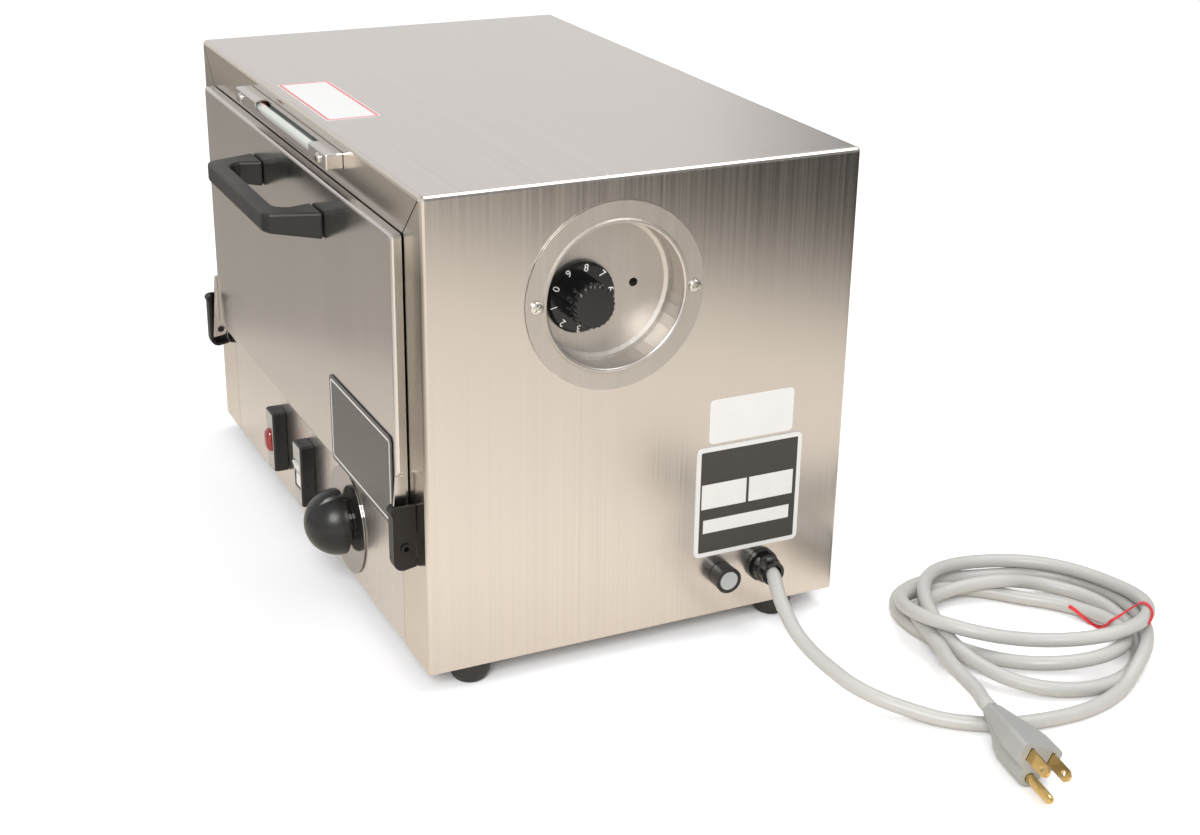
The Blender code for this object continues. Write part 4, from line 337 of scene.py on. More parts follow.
LOOKS = {
    "wrap": wrap_look(),
    "door": look("door sheet", STEEL_TINT, roughness=0.21, metallic=1.0, shift=0.05,
        shift_scale=(60, 5, 4), spread=0.05, grain=(900, 7, 7), bump=0.16),
    "mirror": look("polished strip", (0.60, 0.58, 0.56), roughness=0.20, metallic=1.0, shift=0.04,
        shift_scale=(12, 5, 5), spread=0.03, grain=(500, 9, 9), bump=0.05),
    # The control panel's satin steel is lighter than the rest of the steel: painted light, making up for
    # the table's light that the machine shades close in front of it
    "panel": look("satin strip", (0.72, 0.69, 0.66), roughness=0.26, metallic=1.0, shift=0.03,
        shift_scale=(12, 5, 5), spread=0.04, grain=(900, 9, 9), bump=0.035),
    "cup": look("spun cup", (0.58, 0.55, 0.515), roughness=0.44, metallic=1.0, shift=0.05,
        shift_scale=(4, 300, 4), spread=0.05, grain=(7, 1100, 7), bump=0.2),
    "plain": look("plain steel", (0.50, 0.485, 0.46), roughness=0.36, metallic=1.0, shift=0.08,
        shift_scale=9, spread=0.06, grain=(14, 500, 14), bump=0.2),
    "bright": look("bright fasteners", (0.62, 0.60, 0.56), roughness=0.22, metallic=1.0, shift=0.05,
        shift_scale=90, spread=0.04, grain=900, bump=0.05),
    "element": look("heated tube", (0.16, 0.14, 0.13), roughness=0.45, metallic=1.0, shift=0.3,
        shift_scale=(30, 90, 30), spread=0.1, grain=700, bump=0.3),
    "silver": look("brushed faces", (0.52, 0.52, 0.51), roughness=0.30, metallic=0.85, shift=0.06,
        shift_scale=60, spread=0.05, grain=(1500, 60, 60), bump=0.15),
    "dial": look("dial plate", (0.36, 0.35, 0.34), roughness=0.10, metallic=0.95, shift=0.14,
        shift_scale=420, spread=0.04, grain=(160, 160, 260), bump=0.5, bump_size=0.0002),
    "button": look("pressed disc", (0.42, 0.45, 0.46), roughness=0.32, metallic=0.4, shift=0.04,
        shift_scale=300, spread=0.04, grain=900, bump=0.1),
    "black": look("moulded black", (0.015, 0.015, 0.0145), roughness=0.40, shift=0.12, shift_scale=40,
        spread=0.05, grain=1300, bump=0.35, bump_size=0.00006, Specular_IOR_Level=0.36),
    "satin": look("satin black", (0.008, 0.008, 0.008), roughness=0.30, shift=0.12, shift_scale=40,
        spread=0.05, grain=900, bump=0.12),
    "gloss": look("gloss black", (0.006, 0.006, 0.007), roughness=0.12, shift=0.15, shift_scale=60,
        spread=0.04, grain=500, bump=0.04),
    "dark": look("brown black moulding", (0.011, 0.009, 0.0085), roughness=0.38, shift=0.1, shift_scale=50,
        spread=0.05, grain=1100, bump=0.25, Specular_IOR_Level=0.3),
    "rubber": look("foot rubber", (0.014, 0.014, 0.014), roughness=0.5, shift=0.2, shift_scale=60,
        spread=0.08, grain=900, bump=0.4),
    "rocker": look("clear white moulding", (0.74, 0.75, 0.75), roughness=0.16, shift=0.03, shift_scale=120,
        spread=0.04, grain=900, bump=0.05, Coat_Weight=0.4, Coat_Roughness=0.06),
    "lens": look("red lens", (0.24, 0.006, 0.008), roughness=0.10, shift=0.25, shift_scale=(500, 500, 90),
        spread=0.04, grain=(700, 700, 120), bump=0.3, bump_size=0.00015, Coat_Weight=1.0,
        Coat_Roughness=0.04),
    "glass": look("milk glass tube", (0.50, 0.545, 0.51), roughness=0.10, shift=0.05,
        shift_scale=(900, 60, 60), spread=0.03, grain=(1500, 300, 300), bump=0.10, Coat_Weight=1.0,
        Coat_Roughness=0.04),
    "column": look("red spirit", (0.50, 0.008, 0.012), roughness=0.2, shift=0.08, shift_scale=200,
        spread=0.04, grain=500, bump=0.05),
    "plate": look("anodised plate", (0.040, 0.038, 0.034), roughness=0.33, metallic=0.1, shift=0.10,
        shift_scale=160, spread=0.05, grain=900, bump=0.12),
    "doorplate": look("printed plate", (0.060, 0.058, 0.055), roughness=0.30, metallic=0.2, shift=0.22,
        shift_scale=(500, 90, 90), spread=0.05, grain=900, bump=0.12),
    "print": look("pale print", (0.64, 0.645, 0.645), roughness=0.42, shift=0.03, shift_scale=90,
        spread=0.05, grain=800, bump=0.08),
    "label": look("white label", (0.66, 0.665, 0.67), roughness=0.38, shift=0.025, shift_scale=60,
        spread=0.05, grain=700, bump=0.08),
    "labelred": look("red print", (0.60, 0.17, 0.18), roughness=0.40, shift=0.06, shift_scale=120,
        spread=0.05, grain=700, bump=0.08),
    "silicone": look("silicone ring", (0.40, 0.07, 0.045), roughness=0.55, shift=0.08, shift_scale=60,
        spread=0.06, grain=700, bump=0.2),
    "wool": look("wool jacket", (0.78, 0.74, 0.66), roughness=0.95, shift=0.12, shift_scale=120,
        spread=0.03, grain=900, bump=0.8, bump_size=0.0006),
    "cord": look("cord jacket", (0.44, 0.44, 0.428), roughness=0.36, shift=0.035, shift_scale=30,
        spread=0.05, grain=600, bump=0.10),
    "plug": look("moulded plug", (0.33, 0.34, 0.33), roughness=0.38, shift=0.04, shift_scale=60,
        spread=0.05, grain=700, bump=0.18),
    "brass": look("brass pins", (0.70, 0.50, 0.20), roughness=0.20, metallic=1.0, shift=0.1,
        shift_scale=90, spread=0.07, grain=(700, 60, 60), bump=0.15),
    "lip": look("rolled lip", (0.64, 0.61, 0.58), roughness=0.30, metallic=1.0, shift=0.04, shift_scale=60,
        spread=0.04, grain=700, bump=0.05),
    "tie": look("red tie", (0.60, 0.014, 0.024), roughness=0.36, shift=0.12, shift_scale=300, spread=0.05,
        grain=900, bump=0.2),
    # A grey-green strip on the flange behind the thermometer tube: the tube's painted reflection
    "tube_reflection": look("painted tube reflection", (0.34, 0.37, 0.35), roughness=0.30, metallic=0.3, shift=0.06,
        shift_scale=90, spread=0.05, grain=(700, 200, 200), bump=0.1),
    "figures": look("white figures", (0.78, 0.78, 0.77), roughness=0.45, shift=0.03, shift_scale=90,
        spread=0.04, grain=700, bump=0.08),
}

NODE_LOOKS = {
    "wrap": ("casing_wrap",),
    "door": ("door_pan",),
    "panel": ("control_panel",),
    "mirror": ("hinge_arm_left", "hinge_arm_right", "thermometer_housing"),
    "cup": ("well_cup",),
    "plain": (
        "base_pan", "rear_panel", "door_inner_panel", "chamber_liner", "rail_left", "rail_right",
        "tray_lower", "tray_upper", "thermostat_body", "thermostat_probe", "thermostat_shaft",
        "timer_body", "timer_shaft",
    ),
    "element": ("heating_element",),
    "silver": ("switch_face",),
    "dial": ("timer_dial_plate",),
    "button": ("breaker_button",),
    "black": ("door_handle",),
    "satin": ("timer_knob", "lamp_housing", "switch_housing", "breaker_body"),
    "gloss": ("thermostat_knob", "cord_gland", "timer_collar"),
    "dark": ("hinge_cover_left", "hinge_cover_right", "hinge_pin_left", "hinge_pin_right"),
    "rubber": ("foot_front_left", "foot_front_right", "foot_rear_left", "foot_rear_right"),
    "rocker": ("switch_rocker",),
    "glass": ("thermometer_tube",),
    "plate": ("rating_plate",),
    "doorplate": ("door_plate",),
    "silicone": ("door_gasket",),
    "wool": ("insulation",),
    "plug": ("plug_body",),
    "brass": ("plug_blade_live", "plug_blade_neutral", "plug_pin_ground"),
}

# How far the sharp edges of these nodes are rounded
SOFT_EDGES = {
    "lamp_housing": 0.0009,
    "switch_housing": 0.0009,
    "hinge_cover_left": 0.0007,
    "hinge_cover_right": 0.0007,
}
SHARP_DEG = 35


def dress_nodes():
    for finish, names in NODE_LOOKS.items():
        for name in names:
            node = frame["nodes"][name]
            node.data.materials.clear()
            node.data.materials.append(LOOKS[finish])


def soften_nodes():
    for name, width in SOFT_EDGES.items():
        step = frame["nodes"][name].modifiers.new("soft edges", "BEVEL")
        step.width = width
        step.segments = 2
        step.limit_method = "ANGLE"
        step.angle_limit = math.radians(SHARP_DEG)
        step.harden_normals = True


# Meshes
LEAST_RADIUS = 0.00002
SHEET_EASE = 0.0001
PLATE_EASE_SHARE = 0.4


def smooth_mesh(name, bm, finish, sharp_deg=SHARP_DEG):
    """An object of its own, smooth but for the edges that turn by more than its sharp angle."""
    mesh = bpy.data.meshes.new(name)
    bmesh.ops.recalc_face_normals(bm, faces=bm.faces)
    bm.to_mesh(mesh)
    bm.free()
    mesh.materials.append(LOOKS[finish])
    mesh.shade_smooth()
    mesh.set_sharp_from_angle(angle=math.radians(sharp_deg))
    return link(name, mesh)


def mesh_piece(name, bm, finish, body, sharp_deg=SHARP_DEG):
    """A mesh that rides on a body of the part."""
    made = smooth_mesh(name, bm, finish, sharp_deg)
    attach(made, body)
    return made


def loft(bm, rings):
    """A closed solid through rings of equal length, capped at both ends."""
    loops = [[bm.verts.new(point) for point in ring] for ring in rings]
    for low, high in zip(loops, loops[1:]):
        for i in range(len(low)):
            j = (i + 1) % len(low)
            bm.faces.new((low[i], low[j], high[j], high[i]))
    bm.faces.new(loops[0])
    bm.faces.new(loops[-1][::-1])


def ring_solid(bm, rings):
    """A closed band through rings of equal length, the last joined to the first."""
    loops = [[bm.verts.new(point) for point in ring] for ring in rings]
    count = len(loops[0])
    for first, second in zip(loops, loops[1:] + loops[:1]):
        for i in range(count):
            j = (i + 1) % count
            bm.faces.new((first[i], first[j], second[j], second[i]))


def on_plane(axis, across, up, along):
    """A point of the casing's frame on a plane that faces an axis."""
    if axis == "X":
        return place((along, across, up))
    if axis == "Y":
        return place((across, along, up))
    return place((across, up, along))


def round_ring(axis, centre, radius, along, steps):
    """A circle on such a plane."""
    return [
        on_plane(axis, centre[0] + radius * math.cos(math.tau * i / steps),
                 centre[1] + radius * math.sin(math.tau * i / steps), along)
        for i in range(steps)
    ]


def rounded(centre, size, radius, steps=5):
    """The outline of a rectangle with round corners."""
    points = []
    for quarter, (sign_x, sign_y) in enumerate(((1, 1), (-1, 1), (-1, -1), (1, -1))):
        corner = (
            centre[0] + sign_x * (size[0] / 2 - radius), centre[1] + sign_y * (size[1] / 2 - radius)
        )
        for i in range(steps + 1):
            angle = math.pi / 2 * (quarter + i / steps)
            points.append((corner[0] + radius * math.cos(angle), corner[1] + radius * math.sin(angle)))
    return points


def plate_ring(axis, centre, size, radius, along, inset):
    """The outline of a plate with round corners, drawn in by its inset."""
    drawn_in = (size[0] - 2 * inset, size[1] - 2 * inset)
    outline = rounded(centre, drawn_in, max(radius - inset, LEAST_RADIUS))
    return [on_plane(axis, *point, along) for point in outline]


def sheet_solid(bm, axis, centre, size, radius, low, high):
    """A thin plate with round corners and softened edges."""
    thick = abs(high - low)
    ease = min(thick / 2, SHEET_EASE)
    shoulder = high - (high - low) * ease / thick
    loft(bm, [
        plate_ring(axis, centre, size, radius, along, inset)
        for along, inset in ((low, 0), (shoulder, 0), (high, ease))
    ])


def pierced_plate(bm, axis, centre, size, radius, hole, hole_radius, low, high):
    """A thin plate with round corners, softened edges and a hole in its middle."""
    soft = (high - low) * PLATE_EASE_SHARE
    ease = abs(soft)
    ring_solid(bm, [
        plate_ring(axis, centre, size, radius, low, 0),
        plate_ring(axis, centre, size, radius, high - soft, 0),
        plate_ring(axis, centre, size, radius, high, ease),
        plate_ring(axis, centre, hole, hole_radius, high, -ease),
        plate_ring(axis, centre, hole, hole_radius, high - soft, 0),
        plate_ring(axis, centre, hole, hole_radius, low, 0),
    ])


def frame_solid(bm, axis, centre, size, radius, width, low, high):
    """A thin closed border line."""
    ring_solid(bm, [
        plate_ring(axis, centre, size, radius, along, inset)
        for along, inset in ((low, 0), (high, 0), (high, width), (low, width))
    ])


def plates_and_labels():
    """The borders of the door's and the side's plates, the side's bare fields, and two bare labels."""
    border_height, field_height, gap = 0.00008, 0.00007, 0.00005
    bm = bmesh.new()
    frame_solid(bm, "Y", centre=(0.11705, 0.0977), size=(0.0943, 0.0460), radius=0.0022, width=0.0011,
                low=DOOR_PLATE_FACE, high=DOOR_PLATE_FACE - border_height)
    mesh_piece("door_plate_border", bm, "print", "door")

    bm = bmesh.new()
    frame_solid(bm, "X", centre=(0.06275, 0.06825), size=(0.0640, 0.0640), radius=0.0032, width=0.00245,
                low=SIDE + gap, high=RATING_PLATE_FACE + border_height)
    for centre, size in (
        ((0.0478, 0.0717), (0.0272, 0.0144)),
        ((0.0766, 0.0717), (0.0272, 0.0144)),
        ((0.0622, 0.0541), (0.0530, 0.0078)),
    ):
        sheet_solid(bm, "X", centre, size, radius=0.0003, low=RATING_PLATE_FACE,
                    high=RATING_PLATE_FACE + field_height)
    mesh_piece("rating_plate_fields", bm, "print", "machine")

    label_base, side_label_face, top_label_face = 0.00003, 0.00022, 0.00016
    print_base, print_face = 0.00014, 0.00020
    bm = bmesh.new()
    sheet_solid(bm, "X", centre=(0.06325, 0.1143), size=(0.0509, 0.0250), radius=0.0026,
                low=SIDE + label_base, high=SIDE + side_label_face)
    mesh_piece("side_label", bm, "label", "machine")
    bm = bmesh.new()
    sheet_solid(bm, "Z", TOP_LABEL_CENTRE, size=(0.092, 0.0306), radius=0.0020,
                low=TOP + label_base, high=TOP + top_label_face)
    mesh_piece("top_label", bm, "label", "machine")
    bm = bmesh.new()
    frame_solid(bm, "Z", TOP_LABEL_CENTRE, size=(0.0906, 0.0292), radius=0.0015, width=0.0016,
                low=TOP + print_base, high=TOP + print_face)
    mesh_piece("top_label_border", bm, "labelred", "machine")


def lamp_and_switch():
    """The silver faces that lie on the two black bezels."""
    bezel, bezel_corner = (0.0130, 0.0370), 0.0010
    lamp_hole, lamp_hole_corner = (0.0100, 0.0148), 0.0040
    switch_hole, switch_hole_corner = (0.0104, 0.0172), 0.0008
    front = BEZEL_FACE - 0.00022
    lamp_seat, switch_seat = BEZEL_FACE + 0.0012, BEZEL_FACE - 0.00002
    bm = bmesh.new()
    pierced_plate(bm, "Y", LAMP_CENTRE, bezel, bezel_corner, lamp_hole, lamp_hole_corner, lamp_seat, front)
    made = mesh_piece("lamp_front", bm, "silver", "machine")
    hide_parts("lamp_face")
    bm = bmesh.new()
    pierced_plate(bm, "Y", SWITCH_CENTRE, bezel, bezel_corner, switch_hole, switch_hole_corner, switch_seat,
                  front)
    mesh_piece("switch_front", bm, "silver", "machine")


def lamp_jewel():
    """The lamp's domed red lens, an upright oblong with full corners."""
    half_width, half_height, squareness = 0.0049, 0.0073, 2.6
    seat, rim, bulge = 0.0015, -0.0003, 0.0033
    rise_power, taper_power = 0.9, 0.7
    bands, steps = 9, 40
    profile = [(seat, 1.0), (rim, 1.0)]
    for band in range(1, bands):
        turn = math.pi / 2 * band / bands
        profile.append((rim - bulge * math.sin(turn) ** rise_power, math.cos(turn) ** taper_power))
    rings = []
    for out, share in profile:
        ring = []
        for i in range(steps):
            angle = math.tau * i / steps
            across, rise = math.cos(angle), math.sin(angle)
            square = (abs(across) ** squareness + abs(rise) ** squareness) ** (-1 / squareness)
            ring.append(on_plane(
                "Y", LAMP_CENTRE[0] + half_width * across * square * share,
                LAMP_CENTRE[1] + half_height * rise * square * share, BEZEL_FACE + out,
            ))
        rings.append(ring)
    bm = bmesh.new()
    loft(bm, rings)
    made = mesh_piece("lamp_jewel", bm, "lens", "machine", sharp_deg=50)
    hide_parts("lamp_lens")


def thermometer():
    """Two thin red lines that taper off in the tube's window, one the red spirit and one its painted
    shadow, and a grey-green strip on the flange behind the tube, which is the tube's painted reflection.
    """
    tube_y, tube_z, tube_radius = -0.1256, 0.2435, 0.0029
    inner, outer = -0.0002, 0.00006  # the lines' depth and height at the tube's wall
    tapered = 0.9
    bm = bmesh.new()
    # Two red lines: one stands for the red spirit, the other is its painted shadow
    for turn_deg, start, end, half in ((40, -0.0440, -0.0320, 0.0011), (78, -0.0440, -0.0340, 0.0009)):
        rings = []
        for share in (0.0, 0.35, 0.7, 1.0):
            reach = half * (1 - share * tapered)
            ring = []
            for out, side in ((inner, -1), (inner, 1), (outer, 1), (outer, -1)):
                angle = math.radians(turn_deg) + side * reach / tube_radius
                radius = tube_radius + out
                ring.append(place((
                    start + (end - start) * share, tube_y - radius * math.cos(angle),
                    tube_z + radius * math.sin(angle),
                )))
            rings.append(ring)
        loft(bm, rings)
    mesh_piece("thermometer_column", bm, "column", "machine", sharp_deg=60)
    # A grey-green strip lying on the flange behind the tube: the tube's painted reflection
    bm = bmesh.new()
    sheet_solid(bm, "Y", centre=(0.0056, 0.2437), size=(0.0990, 0.0064), radius=0.0006,
                low=-0.1213, high=-0.1217)
    mesh_piece("thermometer_painted_reflection", bm, "tube_reflection", "machine")


def timer_dome():
    """The timer's smooth domed knob, with a grip ridge that narrows from its rim to its crown."""
    base, rim, flank = -0.1254, 0.0201, 0.0189
    pointer = math.radians(12)
    ridge_half, ridge_blend, crown_share = 0.0024, 0.0007, 0.12
    steps, bands = 144, 30
    back, start = base - 0.0004, base - 0.0005
    rings = []
    for radius, along in ((0.0040, back), (0.0150, back), (0.0186, base)):
        rings.append([
            on_plane("Y", TIMER_CENTRE[0] + radius * math.sin(math.tau * i / steps),
                     TIMER_CENTRE[1] + radius * math.cos(math.tau * i / steps), along)
            for i in range(steps)
        ])
    for band in range(bands):
        rise = math.pi / 2 * band / bands
        level = math.cos(rise)
        ring = []
        for i in range(steps):
            turn = math.tau * i / steps
            ahead = math.cos(turn - pointer) * level
            aside = abs(math.sin(turn - pointer)) * level * rim
            half = ridge_half * (crown_share + (1 - crown_share) * level)
            edge = min(1.0, max(0.0, (half + ridge_blend - aside) / ridge_blend))
            crest = edge * edge * (3 - 2 * edge) if ahead > 0 else 0.0
            radius = flank + (rim - flank) * (crest * level + math.sin(rise))
            ring.append(on_plane(
                "Y", TIMER_CENTRE[0] + radius * level * math.sin(turn),
                TIMER_CENTRE[1] + radius * level * math.cos(turn), start - radius * math.sin(rise),
            ))
        rings.append(ring)
    bm = bmesh.new()
    loft(bm, rings)
    made = mesh_piece("timer_dome", bm, "satin", "timer_dial", sharp_deg=28)
    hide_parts("timer_knob")


def well_lip():
    """The rolled edge round the mouth of the well."""
    radius, roll, face = 0.0388, 0.0011, 0.1958
    steps, roll_steps = 96, 10
    rings = []
    for k in range(roll_steps):
        turn = math.tau * k / roll_steps
        rings.append(round_ring(
            "X", WELL_CENTRE, radius + roll * math.cos(turn), face + roll * math.sin(turn), steps
        ))
    bm = bmesh.new()
    ring_solid(bm, rings)
    mesh_piece("well_lip", bm, "lip", "machine", sharp_deg=60)


def figures():
    """The figures 0 to 9 round the thermostat knob's skirt, their heads outward."""
    first_deg, step_deg = 155, 36
    skirt_face, reach = 0.18312, 0.0157
    size, height = 0.0054, 0.00006
    bm = bmesh.new()
    for figure in range(10):
        text = bpy.data.curves.new("figure", "FONT")
        text.body = str(figure)
        text.size = size
        text.extrude = height
        text.align_x = "CENTER"
        text.align_y = "CENTER"
        holder = link("figure", text)
        graph = bpy.context.evaluated_depsgraph_get()
        mesh = bpy.data.meshes.new_from_object(holder.evaluated_get(graph))
        angle = math.radians(first_deg + step_deg * figure)
        up = Vector((0, math.cos(angle), math.sin(angle)))
        right = Vector((0, math.sin(angle), -math.cos(angle)))
        middle = on_plane("X", *THERMOSTAT_CENTRE, skirt_face) + up * reach
        for vert in mesh.vertices:
            across, rise, out = vert.co
            vert.co = middle + right * across + up * rise + Vector((out, 0, 0))
        bm.from_mesh(mesh)
        bpy.data.objects.remove(holder)
        bpy.data.meshes.remove(mesh)
    mesh_piece("thermostat_figures", bm, "figures", "thermostat_dial")


def carve(piece, cutter):
    """Cuts one mesh out of another for good."""
    step = piece.modifiers.new("cut", "BOOLEAN")
    step.solver = "EXACT"
    step.object = cutter
    graph = bpy.context.evaluated_depsgraph_get()
    mesh = bpy.data.meshes.new_from_object(piece.evaluated_get(graph))
    piece.modifiers.remove(step)
    piece.data = mesh
    mesh.set_sharp_from_angle(angle=math.radians(SHARP_DEG))
    bpy.data.objects.remove(cutter)


def screw(name, replaced, axis, centre, face, out, radius, height, turn_deg):
    """A domed head with a cross recess, on its shank. Its head stands out of its face by its height."""
    shank_radius, shank_length, steps, bands = 0.0015, 0.0055, 28, 6
    edge_share, flat_share = 0.97, 0.10  # of the head's radius
    rim_share, recess_share = 0.2, 0.42  # of its height
    arm_share, arm_half_share = 0.62, 0.13  # of the head's radius
    profile = [
        (shank_radius, face - out * shank_length), (shank_radius, face), (radius * edge_share, face),
        (radius, face + out * height * rim_share),
    ]
    for band in range(1, bands):
        angle = math.pi / 2 * band / bands
        rise = rim_share + (1 - rim_share) * math.sin(angle)
        profile.append((radius * math.cos(angle), face + out * height * rise))
    profile.append((radius * flat_share, face + out * height))
    bm = bmesh.new()
    loft(bm, [round_ring(axis, centre, ring_radius, along, steps) for ring_radius, along in profile])
    made = smooth_mesh(name, bm, "bright")

    reach, half = radius * arm_share, radius * arm_half_share
    for slot_turn in (0, math.pi / 2):
        angle = math.radians(turn_deg) + slot_turn
        outline = [
            (centre[0] + x * math.cos(angle) - y * math.sin(angle),
             centre[1] + x * math.sin(angle) + y * math.cos(angle))
            for x, y in ((-reach, -half), (reach, -half), (reach, half), (-reach, half))
        ]
        cutter = bmesh.new()
        loft(cutter, [
            [on_plane(axis, *point, face + out * height * share) for point in outline]
            for share in (recess_share, 2)
        ])
        carve(made, smooth_mesh("cutter", cutter, "bright"))
    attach(made, "machine")
    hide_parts(replaced)


def screws():
    for side, across, turn_deg in (("left", -0.073, 25), ("right", 0.073, 60)):
        screw(f"screw_thermometer_{side}", f"thermometer_screw_{side}", "Y", (across, 0.24365),
              face=-0.1305, out=-1, radius=0.0031, height=0.0019, turn_deg=turn_deg)
    for side, along, turn_deg in (("front", -0.0624, 40), ("rear", 0.0250, 10)):
        screw(f"screw_well_{side}", f"well_screw_{side}", "X", (along, WELL_CENTRE[1]),
              face=0.1962, out=1, radius=0.0035, height=0.0021, turn_deg=turn_deg)


def tie():
    """The flat red twist tie round the coil's right side."""
    steps, sides = 4, 10
    line = smooth_line([Vector(point) for point, _ in TIE_LINE], steps)
    facing = smooth_line([Vector(out) for _, out in TIE_LINE], steps)
    rings = []
    for i, (middle, out) in enumerate(zip(line, facing)):
        along = (line[min(i + 1, len(line) - 1)] - line[max(i - 1, 0)]).normalized()
        across = along.cross(out).normalized()
        up = across.cross(along).normalized()
        ring = []
        for k in range(sides):
            angle = math.tau * k / sides
            ring.append(place(middle + across * (TIE_WIDTH / 2 * math.cos(angle))
                              + up * (TIE_THICKNESS / 2 * math.sin(angle))))
        rings.append(ring)
    bm = bmesh.new()
    loft(bm, rings)
    return mesh_piece("twist_tie", bm, "tie", "machine", sharp_deg=60)


def cord():
    """The cord in one line from the gland through its coil to the plug."""
    plug = plug_matrix()
    neck = Vector(PLUG_NECK)
    ends = [plug @ (neck - Vector((CORD_DIAMETER, 0, 0))), plug @ neck]
    points = [Vector(point) for point in LEAD_ROUTE]
    points += coil_points()[1:]
    points += [Vector(point) for point in TAIL_ROUTE] + ends
    line = smooth_line(points, 3)
    for point in line:
        point.z = max(point.z, FLOOR_LINE)
    piece = tube("mains_cord", line, CORD_DIAMETER / 2, LOOKS["cord"])
    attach(piece, "machine")
    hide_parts("cord_lead", "cord_coil", "cord_tail")
    plug_nodes = ("plug_body", "plug_blade_live", "plug_blade_neutral", "plug_pin_ground")
    with_pieces = [frame["nodes"][name] for name in plug_nodes]
    with_pieces.append(tie())


# Camera, stage and light
CAMERA_PLACE = (0.9784, -0.3936, 0.5076)
CAMERA_TURNS_DEG = (64.03, 22.69, 0.94)  # its azimuth, elevation and roll
CAMERA_LENS_MM = 56.325
SENSOR_WIDTH_MM = 36.0
FLOOR_HALF = 6.0
LIGHTS_TARGET = (0, 0, 0.12)
WARM_WHITE = (1.0, 0.99, 0.975)

# Each card's heading, its reach along that heading, its half width, its height, its colour and its
# ramps: where each starts and ends, and how much more of the card it shows
CARDS = {
    "dark_room": (54.3, (0.12, 2.8), 1.5, 0.004, (0.015, 0.019, 0.018), (
        (0.16, 0.40, 0.13), (0.59, 0.67, 0.25), (0.67, 0.78, 0.27), (0.78, 0.89, 0.35),
    )),
    "grey_room": (234.3, (0.12, 2.8), 1.8, 0.003, (0.0, 0.0, 0.0), (
        (0.17, 0.30, 0.32), (0.345, 0.385, 0.26),
    )),
}


def camera():
    azimuth, elevation, roll = (math.radians(turn) for turn in CAMERA_TURNS_DEG)
    back = Vector((
        math.sin(azimuth) * math.cos(elevation), -math.cos(azimuth) * math.cos(elevation),
        math.sin(elevation),
    ))
    level = (-back).cross(Vector((0, 0, 1))).normalized()
    upright = level.cross(-back)
    right = math.cos(roll) * level + math.sin(roll) * upright
    up = -math.sin(roll) * level + math.cos(roll) * upright
    data = bpy.data.cameras.new("camera")
    data.lens = CAMERA_LENS_MM
    data.sensor_width = SENSOR_WIDTH_MM
    data.sensor_fit = "HORIZONTAL"
    made = link("camera", data)
    turned = Matrix((right, up, back)).transposed().to_4x4()
    made.matrix_world = Matrix.Translation(CAMERA_PLACE) @ turned
    bpy.context.scene.camera = made


def flat_sheet(name, low, high, finish):
    """A level sheet between two corners."""
    mesh = bpy.data.meshes.new(name)
    corners = [(low[0], low[1], 0), (high[0], low[1], 0), (high[0], high[1], 0), (low[0], high[1], 0)]
    mesh.from_pydata(corners, [], [(0, 1, 2, 3)])
    mesh.materials.append(finish)
    return link(name, mesh)


def floor_sheet(name, finish):
    return flat_sheet(name, (-FLOOR_HALF, -FLOOR_HALF), (FLOOR_HALF, FLOOR_HALF), finish)


def card(name, heading_deg, reach, half, height, colour, ramps):
    """A tone on the table, seen only in reflections: it deepens along its own X by its ramps."""
    fade_from = half * 0.6
    finish, tree = bare_material(name)
    parts = add(tree, "SeparateXYZ", {0: object_place(tree)}).outputs
    mask = 0.0
    for start, end, amount in ramps:
        mask = math_node(tree, "ADD", mask, span(tree, parts["X"], 0.0, amount, start, end))
    aside = math_node(tree, "ABSOLUTE", parts["Y"], 0.0)
    mask = math_node(tree, "MULTIPLY", mask, span(tree, aside, 1.0, 0.0, fade_from, half))
    glow = add(tree, "Emission", {"Color": (*colour, 1.0), "Strength": 1.0})
    clear = add(tree, "BsdfTransparent")
    mixed = add(tree, "MixShader", {0: mask, 1: clear.outputs[0], 2: glow.outputs[0]})
    add(tree, "OutputMaterial", {"Surface": mixed.outputs[0]})
    made = flat_sheet(name, (reach[0], -half), (reach[1], half), finish)
    made.location.z = height
    made.rotation_euler.z = math.radians(heading_deg)
    made.visible_camera = False
    made.visible_diffuse = False
    made.visible_shadow = False
    made.visible_transmission = False


def light_table():
    """A clear sheet that lifts the table's tone for the camera alone, as a light table does."""
    near, far = (1.15, 1.25, 1.41), (1.28, 1.38, 1.54)
    near_reach, far_reach, height = 0.5, 1.6, 0.00002
    finish, tree = bare_material("light table")
    away = add(tree, "VectorMath", {0: object_place(tree)}, operation="LENGTH").outputs["Value"]
    lift = two_tones(tree, span(tree, away, 0.0, 1.0, near_reach, far_reach), near, far)
    clear = add(tree, "BsdfTransparent", {"Color": lift})
    add(tree, "OutputMaterial", {"Surface": clear.outputs[0]})
    made = floor_sheet("light_table", finish)
    made.location.z = height
    made.visible_diffuse = False
    made.visible_glossy = False
    made.visible_shadow = False
    made.visible_transmission = False


def area(name, location, size, energy, colour):
    """A soft lamp that looks at the machine's middle."""
    data = bpy.data.lights.new(name, "AREA")
    data.shape = "RECTANGLE"
    data.size, data.size_y = size
    data.energy = energy
    data.color = colour
    made = link(name, data)
    made.location = location
    toward = Vector(LIGHTS_TARGET) - Vector(location)
    made.rotation_euler = toward.to_track_quat("-Z", "Y").to_euler()


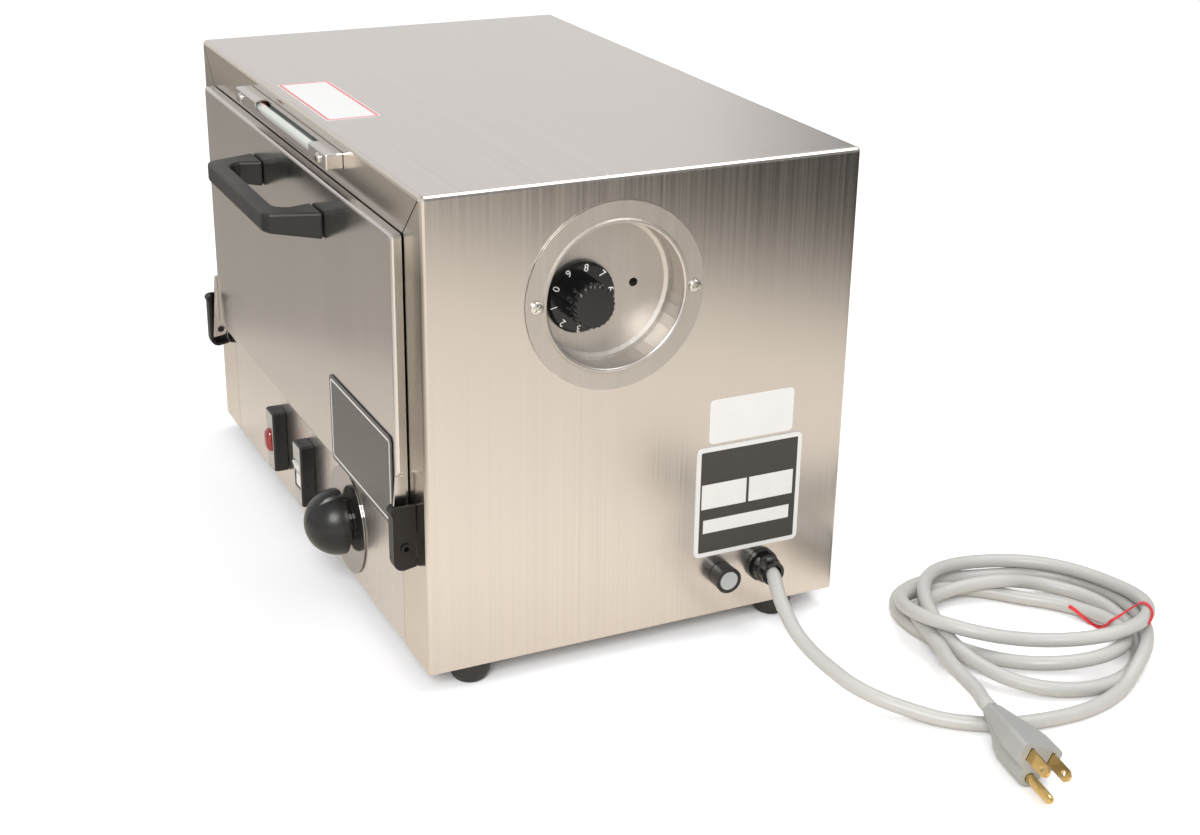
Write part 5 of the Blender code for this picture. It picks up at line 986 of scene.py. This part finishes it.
def studio():
    """A pale surround, a little darker overhead, with a dark part low down behind the machine."""
    pale, dimmer, black = (0.86, 0.85, 0.845), (0.62, 0.61, 0.60), (0.0, 0.0, 0.0)
    behind, dark_share = (0.17, 0.985, 0.0), 0.66
    world = bpy.data.worlds.new("studio")
    bpy.context.scene.world = world
    world.use_nodes = True
    tree = world.node_tree
    tree.nodes.clear()
    where = add(tree, "TexCoord").outputs["Generated"]
    rise = add(tree, "SeparateXYZ", {0: where}).outputs["Z"]
    overhead = span(tree, rise, 0.0, 1.0, start=0.45, end=0.9)
    sky = two_tones(tree, overhead, pale, dimmer)
    toward = add(tree, "VectorMath", {0: where, 1: behind}, operation="DOT_PRODUCT").outputs["Value"]
    dark = span(tree, toward, 0.0, dark_share, start=0.325, end=0.40)
    low_down = span(tree, rise, 1.0, 0.0, start=0.3, end=0.5)
    shade = math_node(tree, "MULTIPLY", dark, low_down)
    dimmed = add(tree, "Mix", {0: shade, 6: sky, 7: (*black, 1.0)}, data_type="RGBA").outputs[2]
    glow = add(tree, "Background", {"Color": dimmed, "Strength": 1.0})
    add(tree, "OutputWorld", {"Surface": glow.outputs[0]})


def stage():
    table = look("table", (0.90, 0.84, 0.765), roughness=0.85, shift=0.012, shift_scale=3, spread=0.05,
                 grain=90, bump=0.02, Specular_IOR_Level=0.15)
    floor_sheet("floor", table)
    light_table()
    for name, settings in CARDS.items():
        card(name, *settings)
    studio()
    area("overhead", location=(-0.2, 0.5, 1.7), size=(0.8, 0.6), energy=8.0, colour=(1.0, 0.985, 0.96))
    area("key", location=(2.25, -1.5, 1.95), size=(1.35, 1.35), energy=66.0, colour=WARM_WHITE)
    area("back", location=(0.55, 0.75, 1.6), size=(0.8, 0.8), energy=6.0, colour=WARM_WHITE)
    bpy.context.scene.view_settings.view_transform = "Standard"


camera()
cord()
dress_nodes()
soften_nodes()
lamp_and_switch()
lamp_jewel()
thermometer()
timer_dome()
well_lip()
plates_and_labels()
figures()
screws()
stage()
